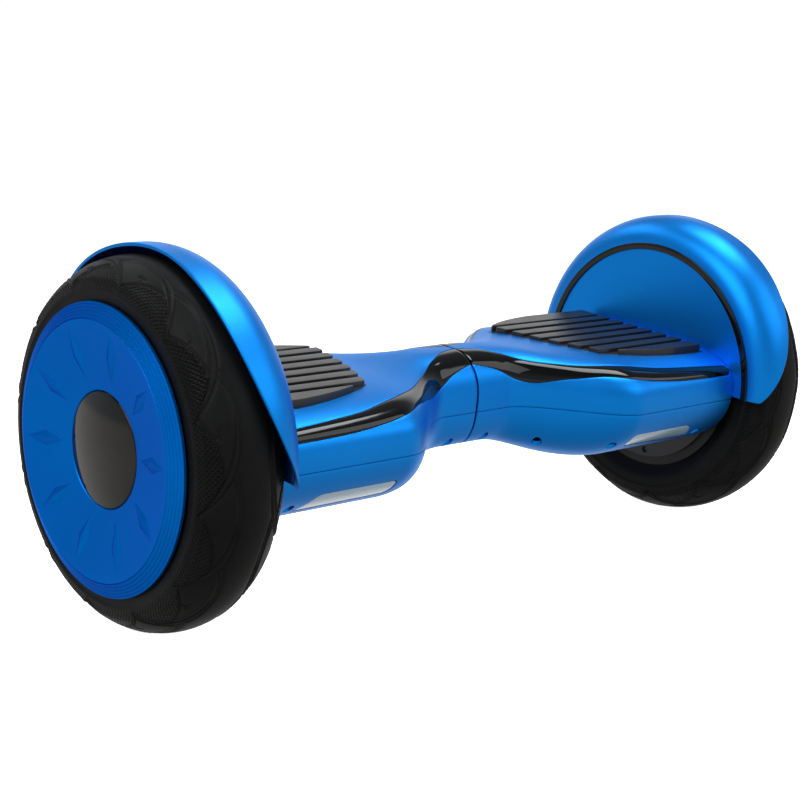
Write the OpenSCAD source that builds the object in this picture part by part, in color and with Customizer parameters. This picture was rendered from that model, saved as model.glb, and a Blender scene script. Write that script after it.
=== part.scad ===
// Self balancing board with two hub-motor wheels and two halves that twist on a hollow shaft.
// X runs along the board with the right half at +X, Y points to the back, Z points up.
// The floor is Z = 0. The halves are drawn level and then leaned by rest_pitch about the axles.

/* [Wheels] */
// Outer radius of the tyre
tyre_r = 132; // [120:1:140]
// Half of the distance between the two tyre centres
wheel_x = 289.5; // [285:0.5:300]
// Full width of the tyre
tyre_w = 68; // [60:1:70]
// Radius of the curve across the tread
tread_r = 43.6; // [38:0.2:60]
// Radius of the rim's bead seat
bead_r = 82.5; // [80:0.5:90]
// Width of the rim between its flanges
rim_w = 54; // [48:1:58]
// Radius of the outer hub cover
cover_r = 102; // [92:1:108]
// Distance from the board's middle to the rim of the hub cover's face
cover_x = 331.9; // [328:0.1:340]
// Radius of the rim of the hub cover's face
face_r = 90.7; // [86:0.1:96]
// Distance from the board's middle to the rim of the centre cap
cap_x = 322; // [320:0.5:330]
// Radius of the domed centre cap
cap_r = 40.6; // [30:0.2:50]
// How far the centre cap stands out of the hub cover
cap_rise = 5; // [2:0.5:10]

/* [Motor] */
// Radius of the axle in its clamp, stator and inner bearing
axle_r = 8.5; // [7:0.5:10]
// Radius of the axle's outer end
axle_tip_r = 7.5; // [6:0.5:8]
// Outer radius of the stator
stator_r = 62; // [55:1:64]
// Air gap between the stator and the magnets
air_gap = 1; // [0.6:0.1:1.5]
// Thickness of the magnet ring
magnet_t = 3.4; // [2:0.2:4]
// Number of slots in the stator
slot_count = 27; // [12:3:36]
// Outer radius of the inner bearing
bearing_r = 20; // [17:0.5:22]
// Width of each wheel bearing
bearing_w = 11; // [8:1:13]

/* [Body] */
// Lean of both halves about the axles at rest, front edge down
rest_pitch = 8; // [0:0.5:12]
// Distance from the board's middle to the end of each half
body_end = 250; // [250:1:262]
// Half of the body's width
body_w = 101.3; // [92:0.5:108]
// Height of the deck
deck_z = 170.6; // [166:0.2:180]
// Height of the body's underside
belly_z = 75.5; // [70:0.5:85]
// Height of the body's widest line
waist_z = 134; // [132:0.5:138]
// Half of the neck's width
neck_w = 37.2; // [36:0.2:44]
// Height of the neck's top
neck_top = 175.6; // [172:0.2:182]
// Height of the neck's underside
neck_bottom = 97.3; // [88:0.1:100]
// Gap between the two halves at the neck
neck_gap = 2; // [1:0.2:4]
// Thickness of the plastic shells
wall = 3; // [2:0.2:4]
// Height of the parting line between the upper and lower shells
seam_z = 131; // [130:0.5:133]
// Gap along the parting line
seam_gap = 0.3; // [0.1:0.1:0.6]

/* [Fenders] */
// Outer radius of the fender
fender_r = 140; // [136:0.5:150]
// Thickness of the fender
fender_t = 3; // [2:0.5:4]
// Radius at which the fender's flat wall ends
fender_flat_r = 116; // [100:1:120]
// Distance from the board's middle to the furthest point of the fender's lip
lip_x = 294.3; // [290:0.1:305]
// How far the fender's lip draws back from there to its lowest point
lip_draw = 41; // [20:1:41]
// Width of the trim ring on the fender wall
trim_w = 5.7; // [3:0.1:8]

/* [Foot pads] */
// Length of the pad along the board
pad_len = 134; // [110:1:136]
// Distance from the board's middle to the pad's outer end
pad_end = 241; // [232:1:244]
// Half of the pad's width
pad_w = 69; // [60:1:74]
// Spacing of the ribs
rib_pitch = 16.8; // [14:0.2:18]
// Width of each rib
rib_w = 10.5; // [8:0.5:12]
// Number of straight ribs
rib_count = 6; // [4:2:6]
// Height of the rib tops over the deck
rib_rise = 3; // [2:0.2:5]
// Distance the pad is pressed to work the switches
pad_travel = 1.5; // [1:0.1:2]
// Gap around each pad
pad_gap = 0.6; // [0.4:0.1:0.9]

/* [Frame and shaft] */
// Outer radius of the hollow centre shaft
shaft_r = 12.5; // [10:0.5:13]
// Inner radius of the centre shaft
shaft_bore = 8.5; // [6:0.5:9]
// Length of the centre shaft on each side of the middle
shaft_len = 62; // [50:1:66]
// Outer radius of the bosses that hold the shaft
boss_r = 19; // [17:0.5:20]
// Thickness of the bushes in the right boss
bush_t = 2; // [1.5:0.5:2.5]
// Thickness of the frame's plate
plate_t = 4.5; // [3:0.5:6]
// Height of the frame plate's underside
plate_z = 123.5; // [123:0.5:124]

/* [Electrics] */
// Length of the battery pack
battery_l = 108; // [90:1:110]
// Width of the battery pack
battery_w = 76; // [60:1:80]
// Height of the battery pack
battery_h = 36.5; // [30:0.5:37]
// Radius of the charge socket's bore
socket_r = 6; // [5:0.5:6.5]
// Travel of the power button
button_travel = 1; // [0.5:0.1:1.5]

/* [Hidden] */

body_blue = [0.04, 0.45, 0.85];
hub_blue = [0.03, 0.33, 0.68];
gloss_black = [0.03, 0.03, 0.035];
plastic_black = [0.05, 0.05, 0.055];
rubber_black = [0.07, 0.07, 0.07];
cast_grey = [0.66, 0.67, 0.68];
steel_grey = [0.5, 0.5, 0.52];

round_fn = 96;
small_fn = 32;
boss_fn = 16;
port_fn = 40;
ring_points = 48;
fit_gap = 0.05;
seat_gap = 0.1;
clear_gap = 0.3;
far = 400;

axle_z = tyre_r;
twist_z = (neck_top + neck_bottom) / 2;

// Shape of the body's outside along its length: where each change starts and ends
flare_from = 35;
flare_to = 130;
top_from = 29;
top_to = 102;
belly_from = 22;
belly_to = 127.6;
neck_waist_z = 139;
neck_power = 2.35;
deck_power = 3.2;
neck_belly_power = 2.8;
belly_power = 2.1;

// Smooth change from 0 to 1 while v goes from a to b
function ease(v, a, b) = let (t = min(1, max(0, (v - a) / (b - a)))) t * t * (3 - 2 * t);
function mix(a, b, t) = a + (b - a) * t;
function signed_power(v, e) = sign(v) * pow(abs(v), e);

function half_width(x) = mix(neck_w, body_w, ease(x, flare_from, flare_to));
function top_height(x) = mix(neck_top, deck_z, ease(x, top_from, top_to));
function belly_height(x) = mix(neck_bottom, belly_z, ease(x, belly_from, belly_to));
function waist_height(x) = mix(neck_waist_z, waist_z, ease(x, flare_from, flare_to));
function upper_power(x) = mix(neck_power, deck_power, ease(x, flare_from, flare_to));
function lower_power(x) = mix(neck_belly_power, belly_power, ease(x, flare_from, flare_to));

// Point of the body's outside at x and angle a, moved inward by inset; a = 90 is the top
function skin_point(x, a, inset) =
  let (p = sin(a) >= 0 ? upper_power(x) : lower_power(x))
  let (h = sin(a) >= 0 ? top_height(x) - waist_height(x) : waist_height(x) - belly_height(x))
  [
    x,
    (half_width(x) - inset) * signed_power(cos(a), 2 / p),
    waist_height(x) + (h - inset) * signed_power(sin(a), 2 / p)
  ];

// Stations along the body: closely spaced where it flares, and one long straight stretch
flare_step = 9;
stations = [for (x = [flare_from - flare_step * 2 : flare_step : flare_to + flare_step]) x];

// Closed solid through rings of points that all have the same count
module ring_solid(rings) {
  m = len(rings);
  n = len(rings[0]);
  sides = [
    for (j = [0 : m - 2]) for (i = [0 : n - 1])
      let (a = j * n + i, b = j * n + (i + 1) % n)
      each [[a, b + n, b], [a, a + n, b + n]]
  ];
  first = [for (i = [0 : n - 1]) i];
  last = [for (i = [0 : n - 1]) m * n - 1 - i];
  polyhedron([for (ring = rings) each ring], concat(sides, [first], [last]), convexity = 6);
}

// Closed solid of the body's outside, moved inward by inset, from x0 to x1
module body_solid(inset, x0, x1) {
  xs = concat([x0], [for (x = stations) if (x > x0 && x < x1) x], [x1]);
  ring_solid([for (x = xs) [for (i = [0 : ring_points - 1]) skin_point(x, 360 * i / ring_points, inset)]]);
}

// Everything above or below a level, as a block
module above(z) {
  translate([-far, -far, z]) cube([2 * far, 2 * far, far]);
}
module below(z) {
  translate([-far, -far, z - far]) cube([2 * far, 2 * far, far]);
}

// Leans a piece by the rest pitch about the axles
module leaned() {
  translate([0, 0, axle_z]) rotate([rest_pitch, 0, 0]) translate([0, 0, -axle_z]) children();
}
// side is 1 on the right and -1 on the left
module on_side(side) {
  if (side > 0) children();
  else mirror([1, 0, 0]) children();
}
// Turns a shape so that its own Z runs along X through the axle
module about_axle() {
  translate([0, 0, axle_z]) rotate([0, 90, 0]) children();
}
module along_x(x0, x1, r, z = axle_z, y = 0) {
  translate([x0, y, z]) rotate([0, 90, 0]) cylinder(h = x1 - x0, r = r, $fn = round_fn);
}
module tube_x(x0, x1, r_out, r_in, z = axle_z) {
  difference() {
    along_x(x0, x1, r_out, z);
    along_x(x0 - 1, x1 + 1, r_in, z);
  }
}

// ---- Wheels ----

rim_in = wheel_x - rim_w / 2;
rim_out = wheel_x + rim_w / 2;
flange_t = 2;
flange_r = bead_r + 6;
magnet_in = stator_r + air_gap;
magnet_out = magnet_in + magnet_t;
rotor_in = magnet_out + seat_gap;
disc_t = 4;
bearing_boss = 5;
tip_bearing_r = 17.5;
inner_bearing_x = rim_in - disc_t + 1;
outer_bearing_x = rim_out - bearing_w - 1;
shoulder_angle = 47;
sidewall_r = 109;
cover_t = 2.8;

// Half of the tyre's outline as [distance from centre plane, radius], from crown to bead
function tyre_side() = concat(
  [for (a = [0 : shoulder_angle / 8 : shoulder_angle])
    [tread_r * sin(a), tyre_r - tread_r + tread_r * cos(a)]],
  [
    [tyre_w / 2 - 0.8, sidewall_r + 4],
    [tyre_w / 2, sidewall_r],
    [tyre_w / 2 - 0.6, sidewall_r - 6],
    [tyre_w / 2 - 3, sidewall_r - 13],
    [rim_w / 2 + 0.4, flange_r + 2],
    [rim_w / 2 - seat_gap, flange_r],
    [rim_w / 2 - seat_gap, bead_r + seat_gap]
  ]
);
tyre_carcass = 9;
module tyre() {
  outer = tyre_side();
  flip = [for (i = [len(outer) - 1 : -1 : 1]) [-outer[i][0], outer[i][1]]];
  cavity_w = rim_w / 2 - 12;
  cavity_r = tyre_r - tyre_carcass;
  color(rubber_black) about_axle() translate([0, 0, wheel_x]) rotate_extrude($fn = round_fn)
    difference() {
      polygon([for (p = concat(flip, outer)) [p[1], p[0]]]);
      translate([cavity_r - cavity_w, 0]) circle(r = cavity_w, $fn = 48);
    }
}

module rim() {
  color(cast_grey) {
    difference() {
      union() {
        along_x(rim_in, rim_out, bead_r);
        along_x(rim_in - flange_t, rim_in, flange_r);
        along_x(rim_out, rim_out + flange_t, flange_r);
      }
      along_x(rim_in - flange_t - 1, rim_out - disc_t, rotor_in);
      along_x(rim_out - disc_t - 1, rim_out + flange_t + 1, tip_bearing_r + seat_gap);
      along_x(rim_out, rim_out + flange_t + 1, bead_r - 4);
    }
    tube_x(outer_bearing_x, rim_out - disc_t, tip_bearing_r + bearing_boss, tip_bearing_r + seat_gap);
  }
}

module magnet_ring() {
  color(steel_grey)
    tube_x(rim_in + disc_t + 2, rim_out - disc_t - seat_gap, magnet_out, magnet_in);
}

// Side plate that closes the motor towards the board and holds the inner bearing
module motor_cover() {
  bolt_ring = (rotor_in + bead_r) / 2;
  color(plastic_black) difference() {
    union() {
      along_x(rim_in - disc_t - flange_t, rim_in - flange_t - seat_gap, bead_r - 2);
      along_x(rim_in - flange_t - 1, rim_in + disc_t, rotor_in - seat_gap);
      along_x(rim_in, inner_bearing_x + bearing_w, bearing_r + bearing_boss);
    }
    along_x(rim_in - disc_t * 3, rim_in + disc_t * 4, bearing_r + seat_gap);
    difference() {
      along_x(rim_in, rim_in + disc_t + 1, rotor_in - 6);
      along_x(rim_in - 1, rim_in + disc_t + 2, bearing_r + bearing_boss);
    }
    for (a = [0 : 60 : 300]) about_axle() rotate([0, 0, a])
      translate([bolt_ring, 0, rim_in - disc_t - flange_t - 1]) cylinder(h = 3, r = 3.2, $fn = 24);
  }
}

module ball_bearing(x, r_out, r_in) {
  groove = (r_out - r_in) * 0.4;
  difference() {
    tube_x(x, x + bearing_w, r_out, r_in);
    tube_x(x - 1, x + 0.8, (r_out + r_in + groove) / 2, (r_out + r_in - groove) / 2);
    tube_x(x + bearing_w - 0.8, x + bearing_w + 1, (r_out + r_in + groove) / 2, (r_out + r_in - groove) / 2);
  }
}
module wheel_bearings() {
  color(steel_grey) {
    ball_bearing(inner_bearing_x, bearing_r, axle_r + fit_gap);
    ball_bearing(outer_bearing_x, tip_bearing_r, axle_tip_r + fit_gap);
  }
}

// Outer hub cover: a dished disc with fine steps round its edge and a ring that stands on the rim
cover_steps = 5;
step_rise = 1.1;
step_riser = 0.4;
edge_t = 2.2;
function cover_face(r) = cap_x + (cover_x - cap_x) * (r - cap_r) / (face_r - cap_r);
module hub_cover() {
  edge_x = cover_x - cover_steps * step_rise;
  step_w = (cover_r - face_r) / cover_steps;
  ring_out = flange_r - 6;
  ring_in = flange_r - 9;
  ring_x = rim_out + flange_t + seat_gap;
  hole = cap_r + clear_gap;
  color(hub_blue) about_axle() rotate_extrude($fn = round_fn) polygon(concat(
    [[cover_r, edge_x - edge_t]],
    [for (i = [0 : cover_steps - 1], riser = [0, 1])
      [cover_r - step_w * (i + riser), edge_x + step_rise * (i + riser) - step_riser * riser]],
    [
      [face_r, cover_x],
      [hole, cover_face(hole)],
      [hole, cover_face(hole) - cover_t],
      [ring_in, cover_face(ring_in) - cover_t],
      [ring_in, ring_x],
      [ring_out, ring_x],
      [ring_out, cover_face(ring_out) - cover_t],
      [face_r, cover_x - cover_t]
    ]
  ));
}
module centre_cap() {
  dome_r = (cap_r * cap_r + cap_rise * cap_rise) / (2 * cap_rise);
  rim_step = 1;
  color(gloss_black) {
    intersection() {
      along_x(cap_x - cover_t, cap_x + cap_rise + 1, cap_r);
      translate([cap_x + cap_rise - dome_r, 0, axle_z]) rotate([0, 90, 0])
        sphere(r = dome_r, $fn = round_fn);
    }
    tube_x(rim_out + seat_gap, cap_x - cover_t + rim_step, cap_r - 2, cap_r - 5);
  }
}

// ---- Axle and stator, fixed to each half ----

axle_seat_x = body_end - 36;
frame_end = body_end - 5;
stator_x0 = inner_bearing_x + bearing_w + 2;
stator_x1 = outer_bearing_x - 2;
module axle() {
  color(steel_grey) {
    along_x(axle_seat_x, outer_bearing_x - 1, axle_r);
    along_x(outer_bearing_x - 1, rim_out - 0.2, axle_tip_r);
  }
}
module stator() {
  coil = 4;
  tooth_gap = 2.4;
  slot_depth = 22;
  color([0.72, 0.42, 0.2]) difference() {
    union() {
      along_x(stator_x0 + coil, stator_x1 - coil, stator_r);
      tube_x(stator_x0, stator_x1, stator_r - 4, stator_r - slot_depth);
      along_x(stator_x0, stator_x1, axle_r + 7);
    }
    along_x(stator_x0 - 1, stator_x1 + 1, axle_r + fit_gap);
    for (i = [0 : slot_count - 1]) about_axle() rotate([0, 0, i * 360 / slot_count])
      translate([stator_r - slot_depth + 2, -tooth_gap / 2, stator_x0 - 1])
        cube([slot_depth, tooth_gap, stator_x1 - stator_x0 + 2]);
    for (a = [30 : 60 : 330]) about_axle() rotate([0, 0, a])
      translate([(axle_r + stator_r) / 2 - 6, 0, stator_x0 - 1])
        cylinder(h = stator_x1 - stator_x0 + 2, r = 6, $fn = small_fn);
  }
}

// ---- Cast frame of each half ----

clamp_len = 24;
clamp_x = axle_seat_x + 4;
clamp_w = 26;
clamp_top = axle_z + 17;
clamp_hole = 3;
screw_out = 18;
post_r = 4;
board_z = 148;
board_t = 1.6;
board_x0 = 134;
board_x1 = 206;
board_w = 34;
boss_in = 14;
boss_out = 58;
clamp_holes = [for (x = [clamp_x + 5, clamp_x + clamp_len - 5]) for (y = [-screw_out, screw_out]) [x, y]];
board_posts = [for (x = [board_x0 + 6, board_x1 - 6]) for (y = [6 - board_w, board_w - 6]) [x, y]];

module frame(bore_r, bolted) {
  plate_half = 62;
  lip_h = 8;
  color(cast_grey) difference() {
    union() {
      translate([0, 0, plate_z]) linear_extrude(plate_t)
        polygon([
          [boss_in + 8, -boss_r + 3], [boss_out + 4, -boss_r], [flare_to - 8, -plate_half],
          [frame_end, -plate_half], [frame_end, plate_half], [flare_to - 8, plate_half],
          [boss_out + 4, boss_r], [boss_in + 8, boss_r - 3]
        ]);
      for (y = [-plate_half, plate_half - 4])
        translate([flare_to, y, plate_z]) cube([frame_end - flare_to, 4, plate_t + lip_h]);
      along_x(boss_in, boss_out, boss_r, twist_z);
      translate([axle_seat_x, -clamp_w, axle_z - 22]) cube([frame_end - axle_seat_x, 2 * clamp_w, 22]);
      for (p = board_posts)
        translate([p[0], p[1], plate_z]) cylinder(h = board_z - plate_z - seat_gap, r = post_r, $fn = small_fn);
    }
    along_x(boss_in - 1, boss_out + 1, bore_r, twist_z);
    along_x(boss_out, shaft_len + 3, shaft_r + 5, twist_z);
    if (bolted) translate([bolt_x, 0, twist_z]) cylinder(h = 2 * boss_r, r = bolt_r + fit_gap, $fn = small_fn);
    translate([lead_x, 0, plate_z - 1]) cylinder(h = plate_t + 2, r = lead_hole_r, $fn = small_fn);
    along_x(axle_seat_x - 1, frame_end + 1, axle_r + fit_gap);
    for (p = clamp_holes)
      translate([p[0], p[1], axle_z - 16]) cylinder(h = 20, r = clamp_hole + seat_gap, $fn = small_fn);
  }
}
module axle_clamp() {
  color(cast_grey) difference() {
    translate([clamp_x, -clamp_w, axle_z + clear_gap])
      cube([clamp_len, 2 * clamp_w, clamp_top - axle_z - clear_gap]);
    along_x(clamp_x - 1, clamp_x + clamp_len + 1, axle_r + fit_gap);
    for (p = clamp_holes)
      translate([p[0], p[1], axle_z]) cylinder(h = 30, r = clamp_hole + seat_gap, $fn = small_fn);
  }
}
module clamp_screws() {
  color(steel_grey) for (p = clamp_holes) translate([p[0], p[1], 0]) difference() {
    union() {
      translate([0, 0, axle_z - 14]) cylinder(h = clamp_top - axle_z + 14.1, r = clamp_hole, $fn = small_fn);
      translate([0, 0, clamp_top + seat_gap]) cylinder(h = 5, r = 4.8, $fn = small_fn);
    }
    translate([0, 0, clamp_top + 2.5]) cylinder(h = 5, r = 2.6, $fn = 6);
  }
}

// ---- Shells, strips and lamps ----

half_x0 = neck_gap / 2;
half_x1 = body_end - clear_gap;

// Smooth curve through a table of [x, value] rows
function slope(t, i) =
  let (a = max(0, i - 1), b = min(len(t) - 1, i + 1)) (t[b][1] - t[a][1]) / (t[b][0] - t[a][0]);
function row_before(t, x, i = 0) = (i >= len(t) - 2 || x < t[i + 1][0]) ? i : row_before(t, x, i + 1);
function curve(t, x) =
  let (i = row_before(t, x), d = t[i + 1][0] - t[i][0], s = (x - t[i][0]) / d)
  t[i][1] * (1 + 2 * s) * (1 - s) * (1 - s) + slope(t, i) * d * s * (1 - s) * (1 - s)
  + t[i + 1][1] * s * s * (3 - 2 * s) + slope(t, i + 1) * d * s * s * (s - 1);

// Edges of the gloss strip: [distance from the middle, angle up the body's side]
strip_low = [[0, 50], [24, 37], [42, 21], [58, 17], [82, 28], [108, 36.5], [150, 26.5], [190, 21], [262, 19]];
strip_high = [[0, 86], [20, 78], [36, 64], [56, 50], [80, 50], [119, 54.5], [166, 43], [241, 33.6], [262, 32]];
strip_t = 1.5;
strip_proud = 0.5;
strip_step = 9;
strip_rows = 4;

// Band of the front or back flank between the strip's edges; spread widens it for its recess
module strip_band(front, out, depth, spread, x0, x1) {
  xs = concat([x0], [for (x = [strip_step : strip_step : x1 - 4]) if (x > x0 + 2) x], [x1]);
  rings = [
    for (x = xs)
      let (lo = curve(strip_low, x) - spread, hi = curve(strip_high, x) + spread)
      let (side = [for (k = [0 : strip_rows]) let (a = mix(lo, hi, k / strip_rows)) front ? 180 - a : a])
      concat(
        [for (k = [0 : strip_rows]) skin_point(x, side[k], -out)],
        [for (k = [strip_rows : -1 : 0]) skin_point(x, side[k], depth)]
      )
  ];
  if (front) mirror([0, 1, 0]) ring_solid([for (ring = rings) [for (p = ring) [p[0], -p[1], p[2]]]]);
  else ring_solid(rings);
}
module strip(front) {
  color(gloss_black) strip_band(front, strip_proud, strip_t, 0, half_x0, half_x1 - clear_gap);
}

// Keeps a moulded piece as one smooth skin
module moulded() {
  resize([0, 0, 0]) children();
}

shell_screws_at = [for (p = [[20, 27.5], [70, 42], [118, 82], [226, 85]]) for (s = [-1, 1]) [p[0], p[1] * s]];
screw_r = 1.9;
screw_head_r = 3.6;
screw_head_h = 2.4;
screw_seat_z = 115;
screw_tip_z = 146;
boss_wall = 3;

// Headlight window on the front of the lower shell, seen from the front
lamp_outline = [[132, 111.5], [206, 111.5], [219, 96], [132, 97.5]];
lamp_t = 2.4;

// Ports at the back of the left lower shell
port_y = 95.6;
port_z = 119.4;
port_tilt = 22.5;
socket_x = 150;
button_x = 190;
port_r = 12;
port_floor_t = 4;
barrel_r = 8;
hinge_drop = 12.5;
hinge_rise = 3.4;
module at_port(x) {
  translate([x, port_y, port_z]) rotate([-90 - port_tilt, 0, 0]) children();
}

function pad_start(y) = pad_end - pad_len + 3.5 - 0.33 * y + 0.002 * y * y;
pad_front_start = 47;
pad_back_start = 53;
function pad_edge(x, x0, y0, y1, p) = mix(y0, y1, 1 - pow(1 - min(1, max(0, (x - x0) / (pad_end - x0))), p));
// Plan of the pad: a slanted inner end, a straight outer end and curved front and back edges
function pad_plan() = concat(
  [for (y = [-pad_front_start : 10 : pad_back_start]) [pad_start(y), y]],
  [for (t = [0 : 0.125 : 1]) let (x = mix(pad_start(pad_back_start), pad_end, t))
    [x, pad_edge(x, pad_start(pad_back_start), pad_back_start, pad_w + 4, 4)]],
  [for (t = [1 : -0.125 : 0]) let (x = mix(pad_start(-pad_front_start), pad_end, t))
    [x, -pad_edge(x, pad_start(-pad_front_start), pad_front_start, pad_w, 2.4)]]
);

module lamp_prism(grow) {
  rotate([90, 0, 0]) linear_extrude(far) offset(delta = grow) polygon(lamp_outline);
}

module upper_shell() {
  color(body_blue) moulded() difference() {
    union() {
      difference() {
        intersection() {
          body_solid(0, half_x0, half_x1);
          above(seam_z + seam_gap / 2);
        }
        body_solid(wall, half_x0 - 1, half_x1 + 1);
      }
      intersection() {
        body_solid(wall / 2, half_x0, half_x1);
        for (p = shell_screws_at) translate([p[0], p[1], seam_z + seam_gap / 2])
          cylinder(h = deck_z, r = screw_r + boss_wall, $fn = boss_fn);
      }
    }
    translate([0, 0, deck_z - 20]) linear_extrude(40) offset(delta = pad_gap) polygon(pad_plan());
    for (front = [true, false])
      strip_band(front, 4, strip_t + seat_gap, 0.4, half_x0 - 2, half_x1 + 2);
    for (p = shell_screws_at) translate([p[0], p[1], seam_z - 1])
      cylinder(h = screw_tip_z - seam_z + 2, r = screw_r + seat_gap, $fn = boss_fn);
  }
}

module lower_shell(ports) {
  color(body_blue) moulded() difference() {
    union() {
      difference() {
        intersection() {
          body_solid(0, half_x0, half_x1);
          below(seam_z - seam_gap / 2);
        }
        body_solid(wall, half_x0 - 1, half_x1 - wall);
      }
      intersection() {
        body_solid(wall / 2, half_x0, half_x1);
        below(seam_z - seam_gap / 2);
        union() {
          for (p = shell_screws_at) translate([p[0], p[1], 0])
            cylinder(h = seam_z, r = screw_head_r + boss_wall - 0.6, $fn = boss_fn);
          if (ports) for (x = [socket_x, button_x]) at_port(x)
            translate([0, 0, -port_floor_t]) cylinder(h = 12, r = port_r + wall, $fn = port_fn);
        }
      }
    }
    for (p = shell_screws_at) translate([p[0], p[1], 0]) {
      cylinder(h = screw_seat_z, r = screw_head_r + 0.8, $fn = boss_fn);
      cylinder(h = seam_z + 1, r = screw_r + seat_gap * 2, $fn = boss_fn);
    }
    intersection() {
      lamp_prism(clear_gap);
      translate([0, -far - 40, 0]) cube([far, far, far]);
    }
    along_x(half_x1 - wall - 2, half_x1 + 1, axle_r + 4);
    if (ports) for (x = [socket_x, button_x]) at_port(x) {
      cylinder(h = 20, r = port_r, $fn = port_fn);
      translate([0, 0, -20]) cylinder(h = 30, r = barrel_r + seat_gap, $fn = port_fn);
    }
    if (ports) at_port(socket_x) translate([-7.5, 0, 0]) cube([15, hinge_drop + 3.5, 12]);
  }
}

module shell_screws() {
  color(gloss_black) for (p = shell_screws_at) translate([p[0], p[1], 0]) difference() {
    union() {
      translate([0, 0, screw_seat_z - screw_head_h - seat_gap])
        cylinder(h = screw_head_h, r = screw_head_r, $fn = small_fn);
      translate([0, 0, screw_seat_z - 1]) cylinder(h = screw_tip_z - screw_seat_z, r = screw_r, $fn = small_fn);
    }
    translate([0, 0, screw_seat_z - screw_head_h - 1]) cylinder(h = 2, r = 1.6, $fn = 6);
  }
}

module headlight() {
  color([0.85, 0.88, 0.9]) moulded() intersection() {
    difference() {
      body_solid(0.2, 120, 230);
      body_solid(0.2 + lamp_t, 110, 240);
    }
    lamp_prism(-seat_gap);
    translate([0, -far - 40, 0]) cube([far, far, far]);
  }
}

// ---- Fenders ----

shoulder_w = 30;
lip_drop = 19;
lip_power = 1.95;
lip_round = 1.9;
lip_step = 6;
lip_high = axle_z + fender_r - lip_drop;
function lip_at(z) =
  lip_x - lip_draw * pow(abs(z - lip_high) * (z > lip_high ? lip_round : 1) / (lip_high - axle_z), lip_power);
function shoulder(inset) = [
  for (t = [0 : 10 : 90])
    [fender_flat_r + (fender_r - fender_flat_r - inset) * sin(t), body_end + shoulder_w - (shoulder_w - inset) * cos(t)]
];
module fender() {
  inside = shoulder(fender_t);
  color(body_blue) intersection() {
    difference() {
      about_axle() rotate_extrude($fn = round_fn) polygon(concat(
        [[axle_r + 4, body_end]],
        shoulder(0),
        [[fender_r, lip_x + 2], [fender_r - fender_t, lip_x + 2]],
        [for (i = [len(inside) - 1 : -1 : 0]) inside[i]],
        [[axle_r + 4, body_end + fender_t]]
      ));
      below(axle_z + 1);
    }
    rotate([90, 0, 0]) linear_extrude(3 * fender_r, center = true) polygon(concat(
      [[0, axle_z + fender_r + lip_step], [0, axle_z]],
      [for (z = [axle_z : lip_step : axle_z + fender_r + lip_step]) [lip_at(z), z]]
    ));
  }
}
module fender_trim() {
  trim_t = 1.4;
  color(gloss_black) difference() {
    tube_x(body_end - trim_t - fit_gap, body_end - fit_gap, fender_flat_r, fender_flat_r - trim_w);
    below(axle_z + 1);
  }
}

// ---- Foot pads and their sensors ----

pad_out = 0.8;
pad_in = 4;
pad_seam_y = 52;
side_h = 12;
groove_w = 3;
plunger_y = 22;
plunger_r = 4;
plunger_x = 170;
switch_h = 6;
actuator_h = 3;
plunger_tip_z = board_z + board_t + switch_h + actuator_h + pad_travel + clear_gap;
module foot_pad() {
  color(rubber_black) moulded() union() {
    intersection() {
      difference() {
        body_solid(-pad_out, 80, 246);
        body_solid(pad_in, 70, 250);
      }
      translate([0, 0, deck_z - 20]) linear_extrude(40) polygon(pad_plan());
    }
    for (i = [0 : rib_count - 1])
      let (y = (i - (rib_count - 1) / 2) * rib_pitch)
      intersection() {
        translate([0, y - rib_w / 2, deck_z - 2]) cube([pad_end - 2, rib_w, 2 + rib_rise]);
        translate([0, 0, deck_z - 20]) linear_extrude(40) offset(delta = -1.5) polygon(pad_plan());
      }
    difference() {
      translate([0, 0, deck_z - side_h]) linear_extrude(side_h + rib_rise - 0.3)
        offset(delta = -1.5) polygon(pad_plan());
      translate([0, -pad_seam_y, 0]) cube([far, 2 * pad_seam_y, far]);
      body_solid(pad_in / 2, 70, 250);
    }
    for (y = [-plunger_y, plunger_y]) translate([plunger_x, y, plunger_tip_z])
      cylinder(h = deck_z - 2 - plunger_tip_z, r = plunger_r, $fn = boss_fn);
  }
}
module sensor_board() {
  color([0.1, 0.4, 0.2]) {
    translate([board_x0, -board_w, board_z]) cube([board_x1 - board_x0, 2 * board_w, board_t]);
    translate([board_x0 + 8, -6, board_z + board_t]) cube([12, 12, 2]);
    translate([board_x1 - 20, -8, board_z + board_t]) cube([8, 16, 5]);
  }
}
module foot_switches() {
  color(gloss_black) for (y = [-plunger_y, plunger_y]) translate([plunger_x, y, board_z + board_t]) {
    translate([-6, -6, 0]) cube([12, 12, switch_h]);
    cylinder(h = switch_h + actuator_h, r = 2, $fn = small_fn);
  }
}

// ---- Centre shaft and neck ----

bush_l = 14;
clip_t = 1.6;
bolt_x = 36;
bolt_r = 3;
module centre_shaft() {
  color(steel_grey) difference() {
    along_x(-shaft_len, shaft_len, shaft_r, twist_z);
    along_x(-shaft_len - 1, shaft_len + 1, shaft_bore, twist_z);
    translate([-bolt_x, 0, twist_z]) cylinder(h = far, r = bolt_r + fit_gap, $fn = small_fn);
  }
}
module shaft_bolt() {
  color(steel_grey) translate([-bolt_x, 0, 0]) {
    translate([0, 0, twist_z + shaft_bore + 0.8])
      cylinder(h = boss_r - shaft_bore, r = bolt_r, $fn = small_fn);
    translate([0, 0, twist_z + boss_r + seat_gap]) cylinder(h = 4, r = 5.5, $fn = 6);
  }
}
module shaft_bushes() {
  color([0.75, 0.6, 0.3]) for (x = [boss_in, boss_out - bush_l])
    tube_x(x, x + bush_l, shaft_r + bush_t, shaft_r + fit_gap, twist_z);
}
module shaft_circlip() {
  color(steel_grey) tube_x(boss_out + clear_gap, boss_out + clear_gap + clip_t, shaft_r + 4, shaft_r + fit_gap, twist_z);
}
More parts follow.
